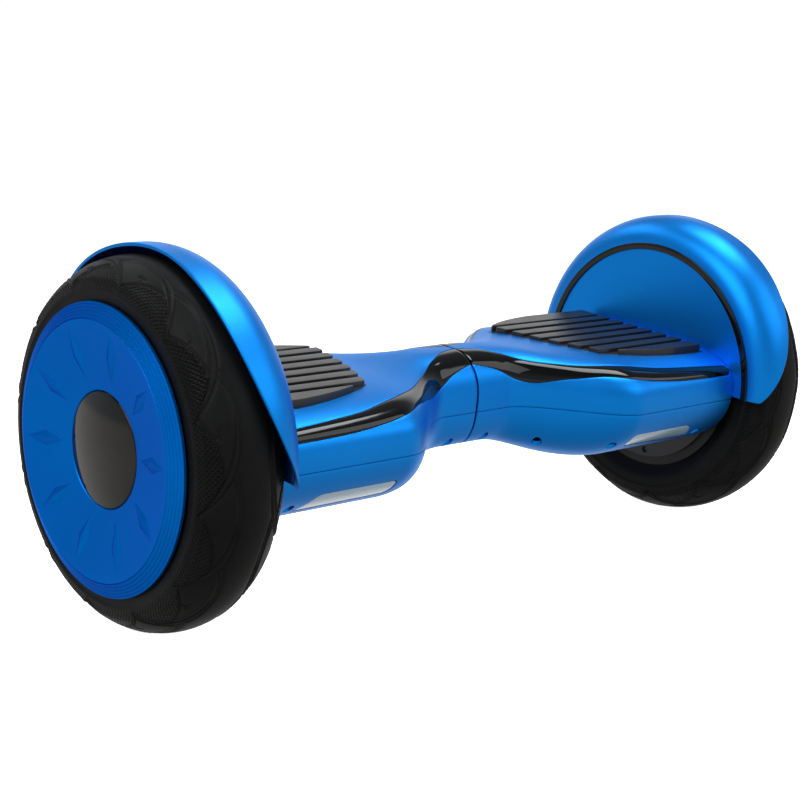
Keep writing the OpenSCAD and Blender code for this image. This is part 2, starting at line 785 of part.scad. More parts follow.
module neck_seal() {
  seal_r = neck_w - wall - 0.6;
  seal_reach = 12;
  color(rubber_black) tube_x(-seal_reach, seal_reach, seal_r, seal_r - 3, twist_z);
}

// ---- Battery, board, wiring and ports ----

battery_x = 102;
strap_t = 1.5;
strap_w = 20;
module battery_pack() {
  color([0.12, 0.3, 0.6]) translate([-battery_x - battery_l, -battery_w / 2, plate_z - clear_gap - battery_h])
    cube([battery_l, battery_w, battery_h]);
}
module battery_bracket() {
  x0 = -battery_x - battery_l / 2 - strap_w / 2;
  z0 = plate_z - clear_gap * 2 - battery_h - strap_t;
  inner = battery_w / 2 + clear_gap;
  color(steel_grey) {
    translate([x0, -inner - strap_t, z0]) cube([strap_w, 2 * (inner + strap_t), strap_t]);
    for (s = [-1, 1]) {
      translate([x0, s > 0 ? inner : -inner - strap_t, z0]) cube([strap_w, strap_t, plate_z - seat_gap - z0]);
      translate([x0, s > 0 ? inner : -inner - 12, plate_z - seat_gap - strap_t]) cube([strap_w, 12, strap_t]);
    }
  }
}
module main_board() {
  x0 = 100;
  l = 106;
  w = 44;
  z0 = 112;
  color([0.1, 0.4, 0.2]) {
    translate([x0, -w, z0]) cube([l, 2 * w, board_t]);
    for (x = [x0 + 6, x0 + l - 6]) for (y = [6 - w, w - 6])
      translate([x, y, z0 + board_t]) cylinder(h = plate_z - z0 - board_t - seat_gap, r = 3, $fn = small_fn);
    for (i = [0 : 2]) translate([x0 + 20 + 18 * i, 20, z0 - 16]) cylinder(h = 16, r = 6.5, $fn = small_fn);
    for (i = [0 : 5]) translate([x0 + 12 + 15 * i, -34, z0 - 9]) cube([10, 5, 9]);
    translate([x0 + 78, 0, z0 - 8]) cube([12, 26, 8]);
  }
}
cable_r = 5;
lead_r = 3.5;
lead_x = 78;
lead_hole_r = 6;
lead_z = 108;
module wiring_harness() {
  color([0.15, 0.15, 0.15]) {
    along_x(-lead_x, lead_x, cable_r, twist_z);
    translate([-lead_x, 0, twist_z]) sphere(r = cable_r, $fn = small_fn);
    translate([-lead_x, 0, lead_z]) cylinder(h = twist_z - lead_z, r = lead_r, $fn = small_fn);
    translate([-lead_x, 0, lead_z]) sphere(r = lead_r, $fn = small_fn);
    along_x(-battery_x + clear_gap, -lead_x, lead_r, lead_z);
  }
}

button_r = 6;
button_bore = 6.3;
button_depth = 8;
module button_bezel() {
  color(gloss_black) at_port(-button_x) difference() {
    union() {
      translate([0, 0, seat_gap]) cylinder(h = 2, r = port_r - 2, $fn = round_fn);
      translate([0, 0, -14]) cylinder(h = 15, r = barrel_r, $fn = round_fn);
    }
    translate([0, 0, -button_depth - button_travel - 0.5]) cylinder(h = 20, r = button_bore, $fn = round_fn);
  }
}
module power_button() {
  color([0.75, 0.1, 0.08]) at_port(-button_x) translate([0, 0, -button_depth])
    cylinder(h = button_depth + 3.4, r = button_r, $fn = round_fn);
}

socket_depth = 12;
flange_h = 2;
ear_x = 4.2;
ear_t = 2;
ear_in = 3.5;
pin_r = 0.8;
module charge_socket() {
  color(gloss_black) at_port(-socket_x) difference() {
    union() {
      translate([0, 0, seat_gap]) cylinder(h = flange_h, r = port_r - 1, $fn = round_fn);
      translate([0, 0, -socket_depth - 4]) cylinder(h = socket_depth + 5, r = barrel_r, $fn = round_fn);
      for (s = [-1, 1]) translate([s > 0 ? ear_x : -ear_x - ear_t, port_r - ear_in, seat_gap])
        cube([ear_t, hinge_drop - port_r + ear_in + 2, hinge_rise + 1.8]);
    }
    translate([0, 0, -socket_depth]) cylinder(h = 30, r = socket_r, $fn = round_fn);
    translate([-10, hinge_drop, hinge_rise]) rotate([0, 90, 0])
      cylinder(h = 20, r = pin_r + fit_gap, $fn = small_fn);
  }
}
module charge_cap() {
  knuckle_r = 1.7;
  lid_t = 2;
  color(rubber_black) at_port(-socket_x) difference() {
    union() {
      translate([0, 0, flange_h + seat_gap + clear_gap]) cylinder(h = lid_t, r = port_r - 3.5, $fn = round_fn);
      translate([-ear_x + clear_gap, port_r - 6, flange_h + seat_gap + clear_gap])
        cube([2 * (ear_x - clear_gap), hinge_drop - port_r + 6, lid_t]);
      translate([-ear_x + clear_gap, hinge_drop, hinge_rise]) rotate([0, 90, 0])
        cylinder(h = 2 * (ear_x - clear_gap), r = knuckle_r, $fn = small_fn);
    }
    translate([-10, hinge_drop, hinge_rise]) rotate([0, 90, 0])
      cylinder(h = 20, r = pin_r + fit_gap, $fn = small_fn);
  }
}
module cap_hinge_pin() {
  color(steel_grey) at_port(-socket_x) translate([-ear_x - ear_t, hinge_drop, hinge_rise]) rotate([0, 90, 0])
    cylinder(h = 2 * (ear_x + ear_t), r = pin_r, $fn = small_fn);
}

left_bore = shaft_r + fit_gap;
right_bore = shaft_r + bush_t + fit_gap;

on_side(-1) tyre();  // left_tyre
on_side(-1) rim();  // left_rim
on_side(-1) magnet_ring();  // left_magnet_ring
on_side(-1) motor_cover();  // left_motor_cover
on_side(-1) wheel_bearings();  // left_wheel_bearings
on_side(-1) hub_cover();  // left_hub_cover
on_side(-1) centre_cap();  // left_centre_cap
leaned() on_side(-1) axle();  // left_axle
leaned() on_side(-1) stator();  // left_stator
leaned() on_side(-1) axle_clamp();  // left_axle_clamp
leaned() on_side(-1) clamp_screws();  // left_clamp_screws
leaned() on_side(-1) frame(left_bore, true);  // left_frame
leaned() on_side(-1) upper_shell();  // left_upper_shell
leaned() on_side(-1) lower_shell(true);  // left_lower_shell
leaned() on_side(-1) shell_screws();  // left_shell_screws
leaned() on_side(-1) strip(true);  // left_front_strip
leaned() on_side(-1) strip(false);  // left_rear_strip
leaned() on_side(-1) headlight();  // left_headlight
leaned() on_side(-1) fender();  // left_fender
leaned() on_side(-1) fender_trim();  // left_fender_trim
leaned() on_side(-1) foot_pad();  // left_foot_pad
leaned() on_side(-1) sensor_board();  // left_sensor_board
leaned() on_side(-1) foot_switches();  // left_foot_switches
on_side(1) tyre();  // right_tyre
on_side(1) rim();  // right_rim
on_side(1) magnet_ring();  // right_magnet_ring
on_side(1) motor_cover();  // right_motor_cover
on_side(1) wheel_bearings();  // right_wheel_bearings
on_side(1) hub_cover();  // right_hub_cover
on_side(1) centre_cap();  // right_centre_cap
leaned() on_side(1) axle();  // right_axle
leaned() on_side(1) stator();  // right_stator
leaned() on_side(1) axle_clamp();  // right_axle_clamp
leaned() on_side(1) clamp_screws();  // right_clamp_screws
leaned() on_side(1) frame(right_bore, false);  // right_frame
leaned() on_side(1) upper_shell();  // right_upper_shell
leaned() on_side(1) lower_shell(false);  // right_lower_shell
leaned() on_side(1) shell_screws();  // right_shell_screws
leaned() on_side(1) strip(true);  // right_front_strip
leaned() on_side(1) strip(false);  // right_rear_strip
leaned() on_side(1) headlight();  // right_headlight
leaned() on_side(1) fender();  // right_fender
leaned() on_side(1) fender_trim();  // right_fender_trim
leaned() on_side(1) foot_pad();  // right_foot_pad
leaned() on_side(1) sensor_board();  // right_sensor_board
leaned() on_side(1) foot_switches();  // right_foot_switches
leaned() centre_shaft();
leaned() shaft_bolt();
leaned() shaft_bushes();
leaned() shaft_circlip();
leaned() neck_seal();
leaned() battery_pack();
leaned() battery_bracket();
leaned() main_board();
leaned() wiring_harness();
leaned() button_bezel();
leaned() power_button();
leaned() charge_socket();
leaned() charge_cap();
leaned() cap_hinge_pin();
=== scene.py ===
import math

import bmesh
import bpy
import numpy as np
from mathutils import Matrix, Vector


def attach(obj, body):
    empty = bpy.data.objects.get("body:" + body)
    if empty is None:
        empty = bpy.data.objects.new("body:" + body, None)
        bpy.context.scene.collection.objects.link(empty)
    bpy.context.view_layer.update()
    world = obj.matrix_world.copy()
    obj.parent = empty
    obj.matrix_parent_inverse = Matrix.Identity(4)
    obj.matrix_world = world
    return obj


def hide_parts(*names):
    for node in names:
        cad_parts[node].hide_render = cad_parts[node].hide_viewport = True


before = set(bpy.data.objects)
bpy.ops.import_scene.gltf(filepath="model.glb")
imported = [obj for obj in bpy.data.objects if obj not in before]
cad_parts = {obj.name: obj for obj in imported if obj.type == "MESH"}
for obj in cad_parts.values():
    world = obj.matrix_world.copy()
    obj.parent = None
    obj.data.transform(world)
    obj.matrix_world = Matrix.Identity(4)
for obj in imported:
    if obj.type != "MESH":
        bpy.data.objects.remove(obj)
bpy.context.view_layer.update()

# Every shape is written for the right side in mm, with the body level. place() leans it back about the axle,
# mirrors it for the left side and turns it into metres.
MM = 0.001
LEAN = math.radians(8)
AXLE_Z = 132.0
WHEEL_X = 289.5
HALF_X0, HALF_X1 = 1.0, 249.7  # a half's ends, at the neck and at the fender
WALL = 3.0
SEAM_Z, SEAM_GAP = 131.0, 0.3  # parting line of the two shells

# half width, top, bottom and height of the widest point, at the deck and at the neck
BODY_W, DECK_Z, BELLY_Z, WAIST_Z = 101.3, 170.6, 75.5, 134.0
NECK_W, NECK_TOP, NECK_BOTTOM, NECK_WAIST = 37.2, 175.6, 97.3, 139.0
# where along x the neck turns into the deck
FLARE, TOP_FLARE, BELLY_FLARE = (35, 130), (29, 102), (22, 127.6)

SOFT_EDGE = 0.3  # bevel of the moulded edges
EDGE_ANGLE = 50  # degrees; a sharper edge is bevelled


# ---------------------------------------------------------------- shapes as (points, faces), in mm
def solid(points, faces):
    """A closed solid with doubled points welded and every face turned outwards."""
    me = bpy.data.meshes.new("work")
    me.from_pydata(np.asarray(points, float).tolist(), [], faces)
    bm = bmesh.new()
    bm.from_mesh(me)
    bmesh.ops.remove_doubles(bm, verts=bm.verts, dist=1e-4)
    bmesh.ops.dissolve_degenerate(bm, edges=bm.edges, dist=1e-5)
    bmesh.ops.recalc_face_normals(bm, faces=bm.faces)
    bm.to_mesh(me)
    bm.free()
    return taken(me)


def taken(me):
    """The points and faces of a mesh, which is then removed."""
    points = np.empty(len(me.vertices) * 3)
    me.vertices.foreach_get("co", points)
    faces = [tuple(p.vertices) for p in me.polygons]
    bpy.data.meshes.remove(me)
    return points.reshape(-1, 3), faces


def grid(m, n, wrap_i=False, wrap_j=False, start=0):
    """Quads of an m by n grid of points."""
    i = np.arange(m if wrap_i else m - 1)[:, None]
    j = np.arange(n if wrap_j else n - 1)[None, :]
    a = start + i * n + j
    b = start + i * n + (j + 1) % n
    c = start + ((i + 1) % m) * n + (j + 1) % n
    d = start + ((i + 1) % m) * n + j
    return [tuple(q) for q in np.stack([a, b, c, d], -1).reshape(-1, 4).tolist()]


def walled(outer, inner):
    """A solid between two grids of points of the same size."""
    m, n = outer.shape[:2]
    k = m * n
    points = np.concatenate([outer.reshape(-1, 3), inner.reshape(-1, 3)])
    faces = grid(m, n) + [f[::-1] for f in grid(m, n, start=k)]
    edge = [(0, j) for j in range(n)] + [(i, n - 1) for i in range(1, m)]
    edge += [(m - 1, j) for j in range(n - 2, -1, -1)] + [(i, 0) for i in range(m - 2, 0, -1)]
    for (i0, j0), (i1, j1) in zip(edge, edge[1:] + edge[:1]):
        a, b = i0 * n + j0, i1 * n + j1
        faces.append((a, b, b + k, a + k))
    return solid(points, faces)


def modified(shape, setup):
    """The shape after the modifiers that setup(object) gives it; setup returns any helper objects it made."""
    me = bpy.data.meshes.new("work")
    me.from_pydata(np.asarray(shape[0], float).tolist(), [], shape[1])
    o = bpy.data.objects.new("work", me)
    bpy.context.scene.collection.objects.link(o)
    made = setup(o)
    bpy.context.view_layer.update()
    seen = o.evaluated_get(bpy.context.evaluated_depsgraph_get())
    result = bpy.data.meshes.new_from_object(seen)
    for x in [o, *(made or [])]:
        mesh = x.data
        bpy.data.objects.remove(x)
        bpy.data.meshes.remove(mesh)
    return taken(result)


def bevelled(shape, width, angle=EDGE_ANGLE, segments=2):
    def setup(o):
        b = o.modifiers.new("bevel", "BEVEL")
        b.width, b.segments = width, segments
        b.limit_method, b.angle_limit = "ANGLE", math.radians(angle)
        b.use_clamp_overlap = False
    return modified(shape, setup)


def cut(shape, tool, keep="DIFFERENCE"):
    def setup(o):
        me = bpy.data.meshes.new("tool")
        me.from_pydata(np.asarray(tool[0], float).tolist(), [], tool[1])
        t = bpy.data.objects.new("tool", me)
        bpy.context.scene.collection.objects.link(t)
        b = o.modifiers.new("cut", "BOOLEAN")
        b.operation, b.object, b.solver = keep, t, "EXACT"
        return [t]
    return modified(shape, setup)


def joined(*shapes):
    points, faces, start = [], [], 0
    for p, f in shapes:
        points.append(p)
        faces += [tuple(v + start for v in q) for q in f]
        start += len(p)
    return np.concatenate(points), faces


def prism(outline, low, high):
    """An upright prism over a closed outline of (x, y)."""
    n = len(outline)
    points = [(x, y, low) for x, y in outline] + [(x, y, high) for x, y in outline]
    faces = [tuple(range(n))[::-1], tuple(range(n, 2 * n))]
    faces += [(i, (i + 1) % n, (i + 1) % n + n, i + n) for i in range(n)]
    return solid(points, faces)


def turned(profile, count, close=False, axis=(0.0, AXLE_Z)):
    """A profile of (x, r) turned about the axle's line; angle 0 is towards the back, 90 is up."""
    profile = np.asarray(profile, float)
    angles = np.linspace(0, 2 * math.pi, count, endpoint=False)
    x, r = profile[None, :, 0], profile[None, :, 1]
    c, s = np.cos(angles)[:, None], np.sin(angles)[:, None]
    points = np.stack([x + 0 * c, axis[0] + r * c, axis[1] + r * s], -1)
    return solid(points.reshape(-1, 3), grid(count, len(profile), wrap_i=True, wrap_j=close))


def moved(shape, matrix, shift=(0, 0, 0)):
    return shape[0] @ np.asarray(matrix, float).T + np.asarray(shift, float), shape[1]


# ---------------------------------------------------------------- placing shapes as pieces
materials = {}


def place(name, shape, slot, body, side=1, lean=True, replaces=None, sharp=32):
    """Makes a piece of a shape: side -1 mirrors it, and sharp is the angle above which an edge is shaded sharp."""
    points, faces = shape
    points = np.array(points, float)
    if side < 0:
        points[:, 0] *= -1
        faces = [f[::-1] for f in faces]
    if lean:
        y, z = points[:, 1].copy(), points[:, 2] - AXLE_Z
        points[:, 1] = y * math.cos(LEAN) - z * math.sin(LEAN)
        points[:, 2] = AXLE_Z + y * math.sin(LEAN) + z * math.cos(LEAN)
    me = bpy.data.meshes.new(name)
    me.from_pydata((points * MM).tolist(), [], faces)
    me.shade_smooth()
    if sharp:
        me.set_sharp_from_angle(angle=math.radians(sharp))
    me.materials.append(materials[slot])
    o = bpy.data.objects.new(name, me)
    bpy.context.scene.collection.objects.link(o)
    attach(o, body)
    if replaces:
        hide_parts(replaces)
    return o


SIDES = ((1, "right"), (-1, "left"))


# ---------------------------------------------------------------- the body's skin
def ease(v, a, b):
    """0 up to a, 1 from b on, and a smooth step between."""
    t = np.clip((np.asarray(v, float) - a) / (b - a), 0, 1)
    return t * t * (3 - 2 * t)


def mix(a, b, t):
    return a + (b - a) * t


def half_width(x):
    return mix(NECK_W, BODY_W, ease(x, *FLARE))


def top_height(x):
    return mix(NECK_TOP, DECK_Z, ease(x, *TOP_FLARE))


def belly_height(x):
    return mix(NECK_BOTTOM, BELLY_Z, ease(x, *BELLY_FLARE))


def waist_height(x):
    return mix(NECK_WAIST, WAIST_Z, ease(x, *FLARE))


def upper_power(x):
    """Power of the section's curve above the waist: 2 is an ellipse, more is squarer."""
    return mix(2.35, 3.2, ease(x, *FLARE))


def lower_power(x):
    return mix(2.8, 2.1, ease(x, *FLARE))


def skin(x, a, inset=0.0):
    """A point of the body's skin at station x and angle a: 0 is the back, 90 the top, 180 the front."""
    x, a, inset = np.broadcast_arrays(*(np.asarray(v, float) for v in (x, a, inset)))
    c, s = np.cos(np.radians(a)), np.sin(np.radians(a))
    up = s >= 0
    p = np.where(up, upper_power(x), lower_power(x))
    w, waist = half_width(x) - inset, waist_height(x)
    h = np.where(up, top_height(x) - waist, waist - belly_height(x)) - inset
    y = w * np.sign(c) * np.abs(c) ** (2 / p)
    z = waist + h * np.sign(s) * np.abs(s) ** (2 / p)
    return np.stack([x, y, z], -1)


def seam_angle(x, z):
    """How many degrees below the waist the skin is at height z."""
    waist = waist_height(x)
    share = (waist - z) / (waist - belly_height(x))
    return np.degrees(np.arcsin(share ** (lower_power(x) / 2)))


def even(x, a0, a1, n):
    """n angles from a0 to a1 that are evenly spaced along the skin at station x."""
    a = np.linspace(a0, a1, 1600)
    p = skin(x, a)
    s = np.concatenate([[0], np.cumsum(np.linalg.norm(np.diff(p, axis=0), axis=1))])
    return np.interp(np.linspace(0, s[-1], n), s, a)


def deck_height(x, y, out=0.0):
    """Height of the upper skin above the plan point (x, y)."""
    w, waist, p = half_width(x) + out, waist_height(x), upper_power(x)
    share = np.clip(np.abs(y) / w, 0, 1)
    return waist + (top_height(x) + out - waist) * (1 - share ** p) ** (1 / p)


def front_depth(x, z, inset=0.0):
    """How far the lower skin's front lies from the middle, at height z."""
    w, waist, p = half_width(x) - inset, waist_height(x), lower_power(x)
    share = np.clip((waist - z) / (waist - belly_height(x) - inset), 0, 1)
    return w * (1 - share ** p) ** (1 / p)


# the gloss strip's lower and upper edge, as (x, degrees above the waist)
STRIP_LOW = ((0, 50), (24, 37), (42, 21), (58, 17), (82, 28), (108, 36.5), (150, 26.5), (190, 21), (262, 19))
STRIP_HIGH = ((0, 86), (20, 78), (36, 64), (56, 50), (80, 50), (119, 54.5), (166, 43), (241, 33.6), (262, 32))
STRIP_END, STRIP_ROUND = 248.4, 5.0
REAR_DROP = 11.0  # degrees that the rear strip's upper edge runs lower beside the neck


def curve(rows, x):
    """A smooth curve through rows of (x, value)."""
    i = 0
    while i < len(rows) - 2 and x >= rows[i + 1][0]:
        i += 1

    def slope(k):
        a, b = max(0, k - 1), min(len(rows) - 1, k + 1)
        return (rows[b][1] - rows[a][1]) / (rows[b][0] - rows[a][0])

    d = rows[i + 1][0] - rows[i][0]
    s = (x - rows[i][0]) / d
    return (rows[i][1] * (1 + 2 * s) * (1 - s) ** 2 + slope(i) * d * s * (1 - s) ** 2
            + rows[i + 1][1] * s * s * (3 - 2 * s) + slope(i + 1) * d * s * s * (s - 1))


def strip_edges(x, spread=0.0, front=True):
    """Lower and upper angle of the gloss strip at station x; its end at the fender is round."""
    low, high = curve(STRIP_LOW, x), curve(STRIP_HIGH, x)
    if not front:
        high -= REAR_DROP * ease(x, 26, 62) * (1 - ease(x, 120, 170))
    middle, half = (low + high) / 2, (high - low) / 2
    over = np.clip((x - STRIP_END + STRIP_ROUND) / STRIP_ROUND, 0, 1)
    half = half * math.sqrt(max(0.0, 1 - over * over)) + spread
    return middle - half, middle + half


FINE_TO, FINE_STEP, COARSE_STEP = 138, 2.4, 4.0  # sections are closer where the body curves
GROOVE_GAP, GROOVE_DEPTH = 0.35, 1.6  # the strip's bed in the upper shell: degrees round it, and mm


def stations(first, last):
    near = np.arange(first, FINE_TO, FINE_STEP)
    far = np.arange(FINE_TO, last - 7, COARSE_STEP)
    end = last - np.array([6.4, 5.2, 4.2, 3.2, 2.4, 1.7, 1.3, 0.6, 0.0])
    return np.concatenate([near, far, end])


def upper_side(x, front):
    """Angles, insets and inside angles of half of the upper shell's section, from the parting line up."""
    seam = seam_angle(x, SEAM_Z + SEAM_GAP / 2)
    low, high = strip_edges(x, GROOVE_GAP, front)
    across = 12  # points over the strip's bed
    flank, groove, deck = even(x, -seam, low, 18), even(x, low, high, across), even(x, high, 90, 34)[:-1]
    spare = 0.3 if high - low > 0.8 else 0.01
    depth = GROOVE_DEPTH if x < STRIP_END else 0.0
    angles = np.concatenate([flank, groove, deck])
    insets = np.concatenate([0 * flank, 0 * groove + depth, 0 * deck])
    inside = np.concatenate([flank, np.linspace(low + spare, high - spare, across), deck])
    return angles, insets, inside


def upper_shell():
    outer, inner = [], []
    for x in stations(HALF_X0, HALF_X1):
        back, front = upper_side(x, False), upper_side(x, True)
        angles, inside = (np.concatenate([back[i], [90], 180 - front[i][::-1]]) for i in (0, 2))
        outer.append(skin(x, angles, np.concatenate([back[1], [0], front[1][::-1]])))
        inner.append(skin(x, inside, WALL))
    return bevelled(walled(np.array(outer), np.array(inner)), SOFT_EDGE)


def lower_shell():
    """The tub under the parting line, with an end wall at the fender."""
    count = 96
    xs = stations(HALF_X0, HALF_X1)
    outer, inner = [], []
    for x in xs:
        seam = seam_angle(x, SEAM_Z - SEAM_GAP / 2)
        angles = even(x, -seam, -90, count // 2)
        angles = np.concatenate([angles[:-1], [-90], -180 - angles[:-1][::-1]])
        outer.append(skin(x, angles))
        inner.append(skin(min(x, HALF_X1 - WALL), angles, WALL))
    hub = np.array([0, 0, SEAM_Z - SEAM_GAP / 2])
    for share in (0.86, 0.66, 0.46, 0.28, 0.15):
        for rows in (outer, inner):
            ring = rows[len(xs) - 1]
            centre = hub + [ring[0, 0], 0, 0]
            rows.append(centre + (ring - centre) * share)
    return bevelled(walled(np.array(outer), np.array(inner)), SOFT_EDGE)


# ---------------------------------------------------------------- the foot pad's plan
PAD_END = 241.0  # its straight outer end, beside the fender
PAD_W, PAD_W_BACK = 69.0, 73.0  # depth of its front and back edge from the middle
PAD_FRONT, PAD_BACK = 47.0, 53.0  # the slanted end lies between these
PAD_SHELL_GAP = 0.6
RIBS, RIB_PITCH, RIB_HALF, RIB_ROUND = 6, 16.8, 5.25, 1.8
RIB_TOP, EDGE_TOP = 173.6, 173.3


def slanted(y):
    """Where the pad's slanted, slightly bowed inner end lies at depth y."""
    return PAD_END - 130.5 - 0.33 * y + 0.002 * y * y


def pad_start(y):
    """Where the pad begins at depth y: a slanted end that sweeps out to the pad's wide outer end."""
    if -PAD_FRONT <= y <= PAD_BACK:
        return slanted(y)
    y0, y1, p = (PAD_FRONT, PAD_W, 2.4) if y < 0 else (PAD_BACK, PAD_W_BACK, 4.0)
    x0 = slanted(math.copysign(y0, y))
    share = min(1.0, (abs(y) - y0) / (y1 - y0))
    return mix(x0, PAD_END, 1 - (1 - share) ** (1 / p))


def pad_outline(out):
    """The pad's outline, grown by out."""
    quarter = np.linspace(0, math.pi / 2, 16)
    ys = np.concatenate([-PAD_W + 22 * (1 - np.cos(quarter)), np.arange(-42, 50, 6.0),
                         PAD_W_BACK - 20 * (1 - np.sin(quarter))])
    path = [(pad_start(y), y) for y in np.unique(np.round(ys, 3))]
    path += [(PAD_END, PAD_W_BACK), (PAD_END, -PAD_W)]
    path = np.array(path)
    keep = [0]
    for i in range(1, len(path)):
        if np.linalg.norm(path[i] - path[keep[-1]]) > 0.3:
            keep.append(i)
    path = path[keep]
    if np.linalg.norm(path[-1] - path[0]) < 0.3:
        path = path[:-1]
    ahead, behind = np.roll(path, -1, 0) - path, path - np.roll(path, 1, 0)
    ahead /= np.linalg.norm(ahead, axis=1)[:, None]
    behind /= np.linalg.norm(behind, axis=1)[:, None]
    normal = np.stack([-(ahead + behind)[:, 1], (ahead + behind)[:, 0]], -1)
    normal /= np.linalg.norm(normal, axis=1)[:, None]
    corner = 1 / np.maximum(0.5, np.sqrt((1 + (ahead * behind).sum(1)) / 2))
    return path + normal * (out * corner)[:, None]


def rows_slab(ys, start, end, top, bottom, count):
    """A solid of rows of constant y, from start(y) to end(y) and from bottom(x, y) to top(x, y)."""
    up, down = [], []
    for y in ys:
        x = np.linspace(start(y), end(y), count)
        up.append(np.stack([x, 0 * x + y, top(x, y) + 0 * x], -1))
        down.append(np.stack([x, 0 * x + y, bottom(x, y) + 0 * x], -1))
    return walled(np.array(up), np.array(down))


def foot_pad():
    """The base sheet, the ribs across it and the raised front and back edges."""
    eps, rib_inset, end_inset, edge_from, edge_round = 0.25, 0.7, 0.9, 52.4, 3.0
    ys = np.concatenate([-PAD_W + eps + 21 * (np.linspace(0, 1, 12) ** 1.6), np.linspace(-46, 52, 34),
                         PAD_W_BACK - eps - 20 * (np.linspace(1, 0, 12) ** 1.6)])
    base = rows_slab(ys, pad_start, lambda y: PAD_END, lambda x, y: deck_height(x, y, eps),
                     lambda x, y: deck_height(x, y, -4.0), 60)
    parts = [bevelled(base, SOFT_EDGE)]
    for i in range(RIBS):
        middle = (i - (RIBS - 1) / 2) * RIB_PITCH
        ys = middle + RIB_HALF * np.sin(np.linspace(-math.pi / 2, math.pi / 2, 15))

        def corner(y):
            over = max(0.0, abs(y - middle) - (RIB_HALF - RIB_ROUND))
            return RIB_ROUND - math.sqrt(max(0.0, RIB_ROUND * RIB_ROUND - over * over))

        rib = rows_slab(ys, lambda y: pad_start(y) + rib_inset + corner(y),
                        lambda y: PAD_END - end_inset - corner(y),
                        lambda x, y: RIB_TOP - 0.1 * ((y - middle) / RIB_HALF) ** 2, lambda x, y: 167.0, 44)
        parts.append(bevelled(rib, 0.55, segments=3))
    for sign, edge_to in ((-1, PAD_W - 1.6), (1, PAD_W_BACK - 1.6)):
        ys = sign * (edge_from + (edge_to - edge_from) * (1 - (1 - np.linspace(0, 1, 14)) ** 1.5))

        def start(y):
            over = max(0.0, (edge_from + edge_round - abs(y)) / edge_round)
            return pad_start(y) + end_inset + edge_round * (1 - math.sqrt(max(0.0, 1 - over * over)))

        edge = rows_slab(ys, start, lambda y: PAD_END - end_inset, lambda x, y: EDGE_TOP + 0 * x,
                         lambda x, y: deck_height(x, y, -2.0), 44)
        parts.append(bevelled(edge, 0.6, segments=3))
    return joined(*parts)


def strip(front):
    """A gloss strip, lying in its bed and crowned over the skin."""
    outer, inner = [], []
    xs = np.concatenate([np.arange(HALF_X0, FINE_TO, FINE_STEP), np.arange(FINE_TO, STRIP_END - 6, COARSE_STEP),
                         STRIP_END - STRIP_ROUND * (1 - np.sin(np.linspace(0, 1.5, 9)))])
    across = np.linspace(-1, 1, 17)
    for x in xs:
        low, high = strip_edges(x, 0.0, front)
        a = (low + high) / 2 + (high - low) / 2 * across
        crown = 0.9 * (1 - np.abs(across) ** 2.6) - 0.15
        side = 180 - a if front else a
        outer.append(skin(x, side, -crown))
        inner.append(skin(x, side, 1.5))
    return bevelled(walled(np.array(outer), np.array(inner)), 0.25)


# ---------------------------------------------------------------- fender
FENDER_R, FLAT_R, SHOULDER_W, FENDER_T, BODY_END = 139.95, 116.0, 30.0, 3.0, 250.0
FENDER_BORE, RIM_RUN = 12.5, 40  # the flat wall starts at this radius; the rim's length per unit of s
LIP_X, LIP_DRAW, LIP_HIGH, LIP_POWER, LIP_ROUND = 294.3, 41.0, 253.0, 1.95, 1.9


def lip_at(z):
    """How far out the fender reaches at height z."""
    drop = abs(z - LIP_HIGH) * (LIP_ROUND if z > LIP_HIGH else 1.0) / (LIP_HIGH - AXLE_Z)
    return LIP_X - LIP_DRAW * drop ** LIP_POWER


def fender_profile(inset, s):
    """Point (r, x) of the section: s 0 to 1 is the flat wall, to 2 the shoulder, beyond 2 the rim."""
    flat_x = BODY_END + inset
    if s <= 1:
        return mix(FENDER_BORE, FLAT_R, s), flat_x
    if s <= 2:
        t = (s - 1) * math.pi / 2
        return (FLAT_R + (FENDER_R - FLAT_R - inset) * math.sin(t),
                BODY_END + SHOULDER_W - (SHOULDER_W - inset) * math.cos(t))
    return FENDER_R - inset, BODY_END + SHOULDER_W + (s - 2) * RIM_RUN


def lip_edge(inset, turn):
    """Where the section meets the lip, at turn radians from the top."""
    low, high = 1.0, 3.0
    for _ in range(44):
        s = (low + high) / 2
        r, x = fender_profile(inset, s)
        z = AXLE_Z + r * math.cos(turn)
        if x < lip_at(z):
            low = s
        else:
            high = s
    return low


def fender():
    """The half-round shield over the wheel, from the flat wall beside the pad to its lip."""
    count_wall, count_rim, count_turn = 14, 40, 181
    # turns as a share of a quarter either way, closer together towards the ends
    us = np.sin(np.linspace(-math.pi / 2, math.pi / 2, count_turn)) * 0.35 + np.linspace(-1, 1, count_turn) * 0.65
    outer, inner = [], []
    for u in us:
        rows = []
        for inset in (0.0, FENDER_T):
            r, x = fender_profile(inset, 2.0)
            edge = lip_edge(inset, u * math.acos(1 / r))
            ss = np.concatenate([np.linspace(0, 1, count_wall), np.linspace(1, edge, count_rim)[1:]])
            row = []
            for s in ss:
                r, x = fender_profile(inset, s)
                turn = u * math.acos(min(1.0, 1.0 / r))
                row.append((x, r * math.sin(turn), AXLE_Z + r * math.cos(turn)))
            rows.append(row)
        outer.append(rows[0])
        inner.append(rows[1])
    return bevelled(walled(np.array(outer), np.array(inner)), 1.1, segments=4)


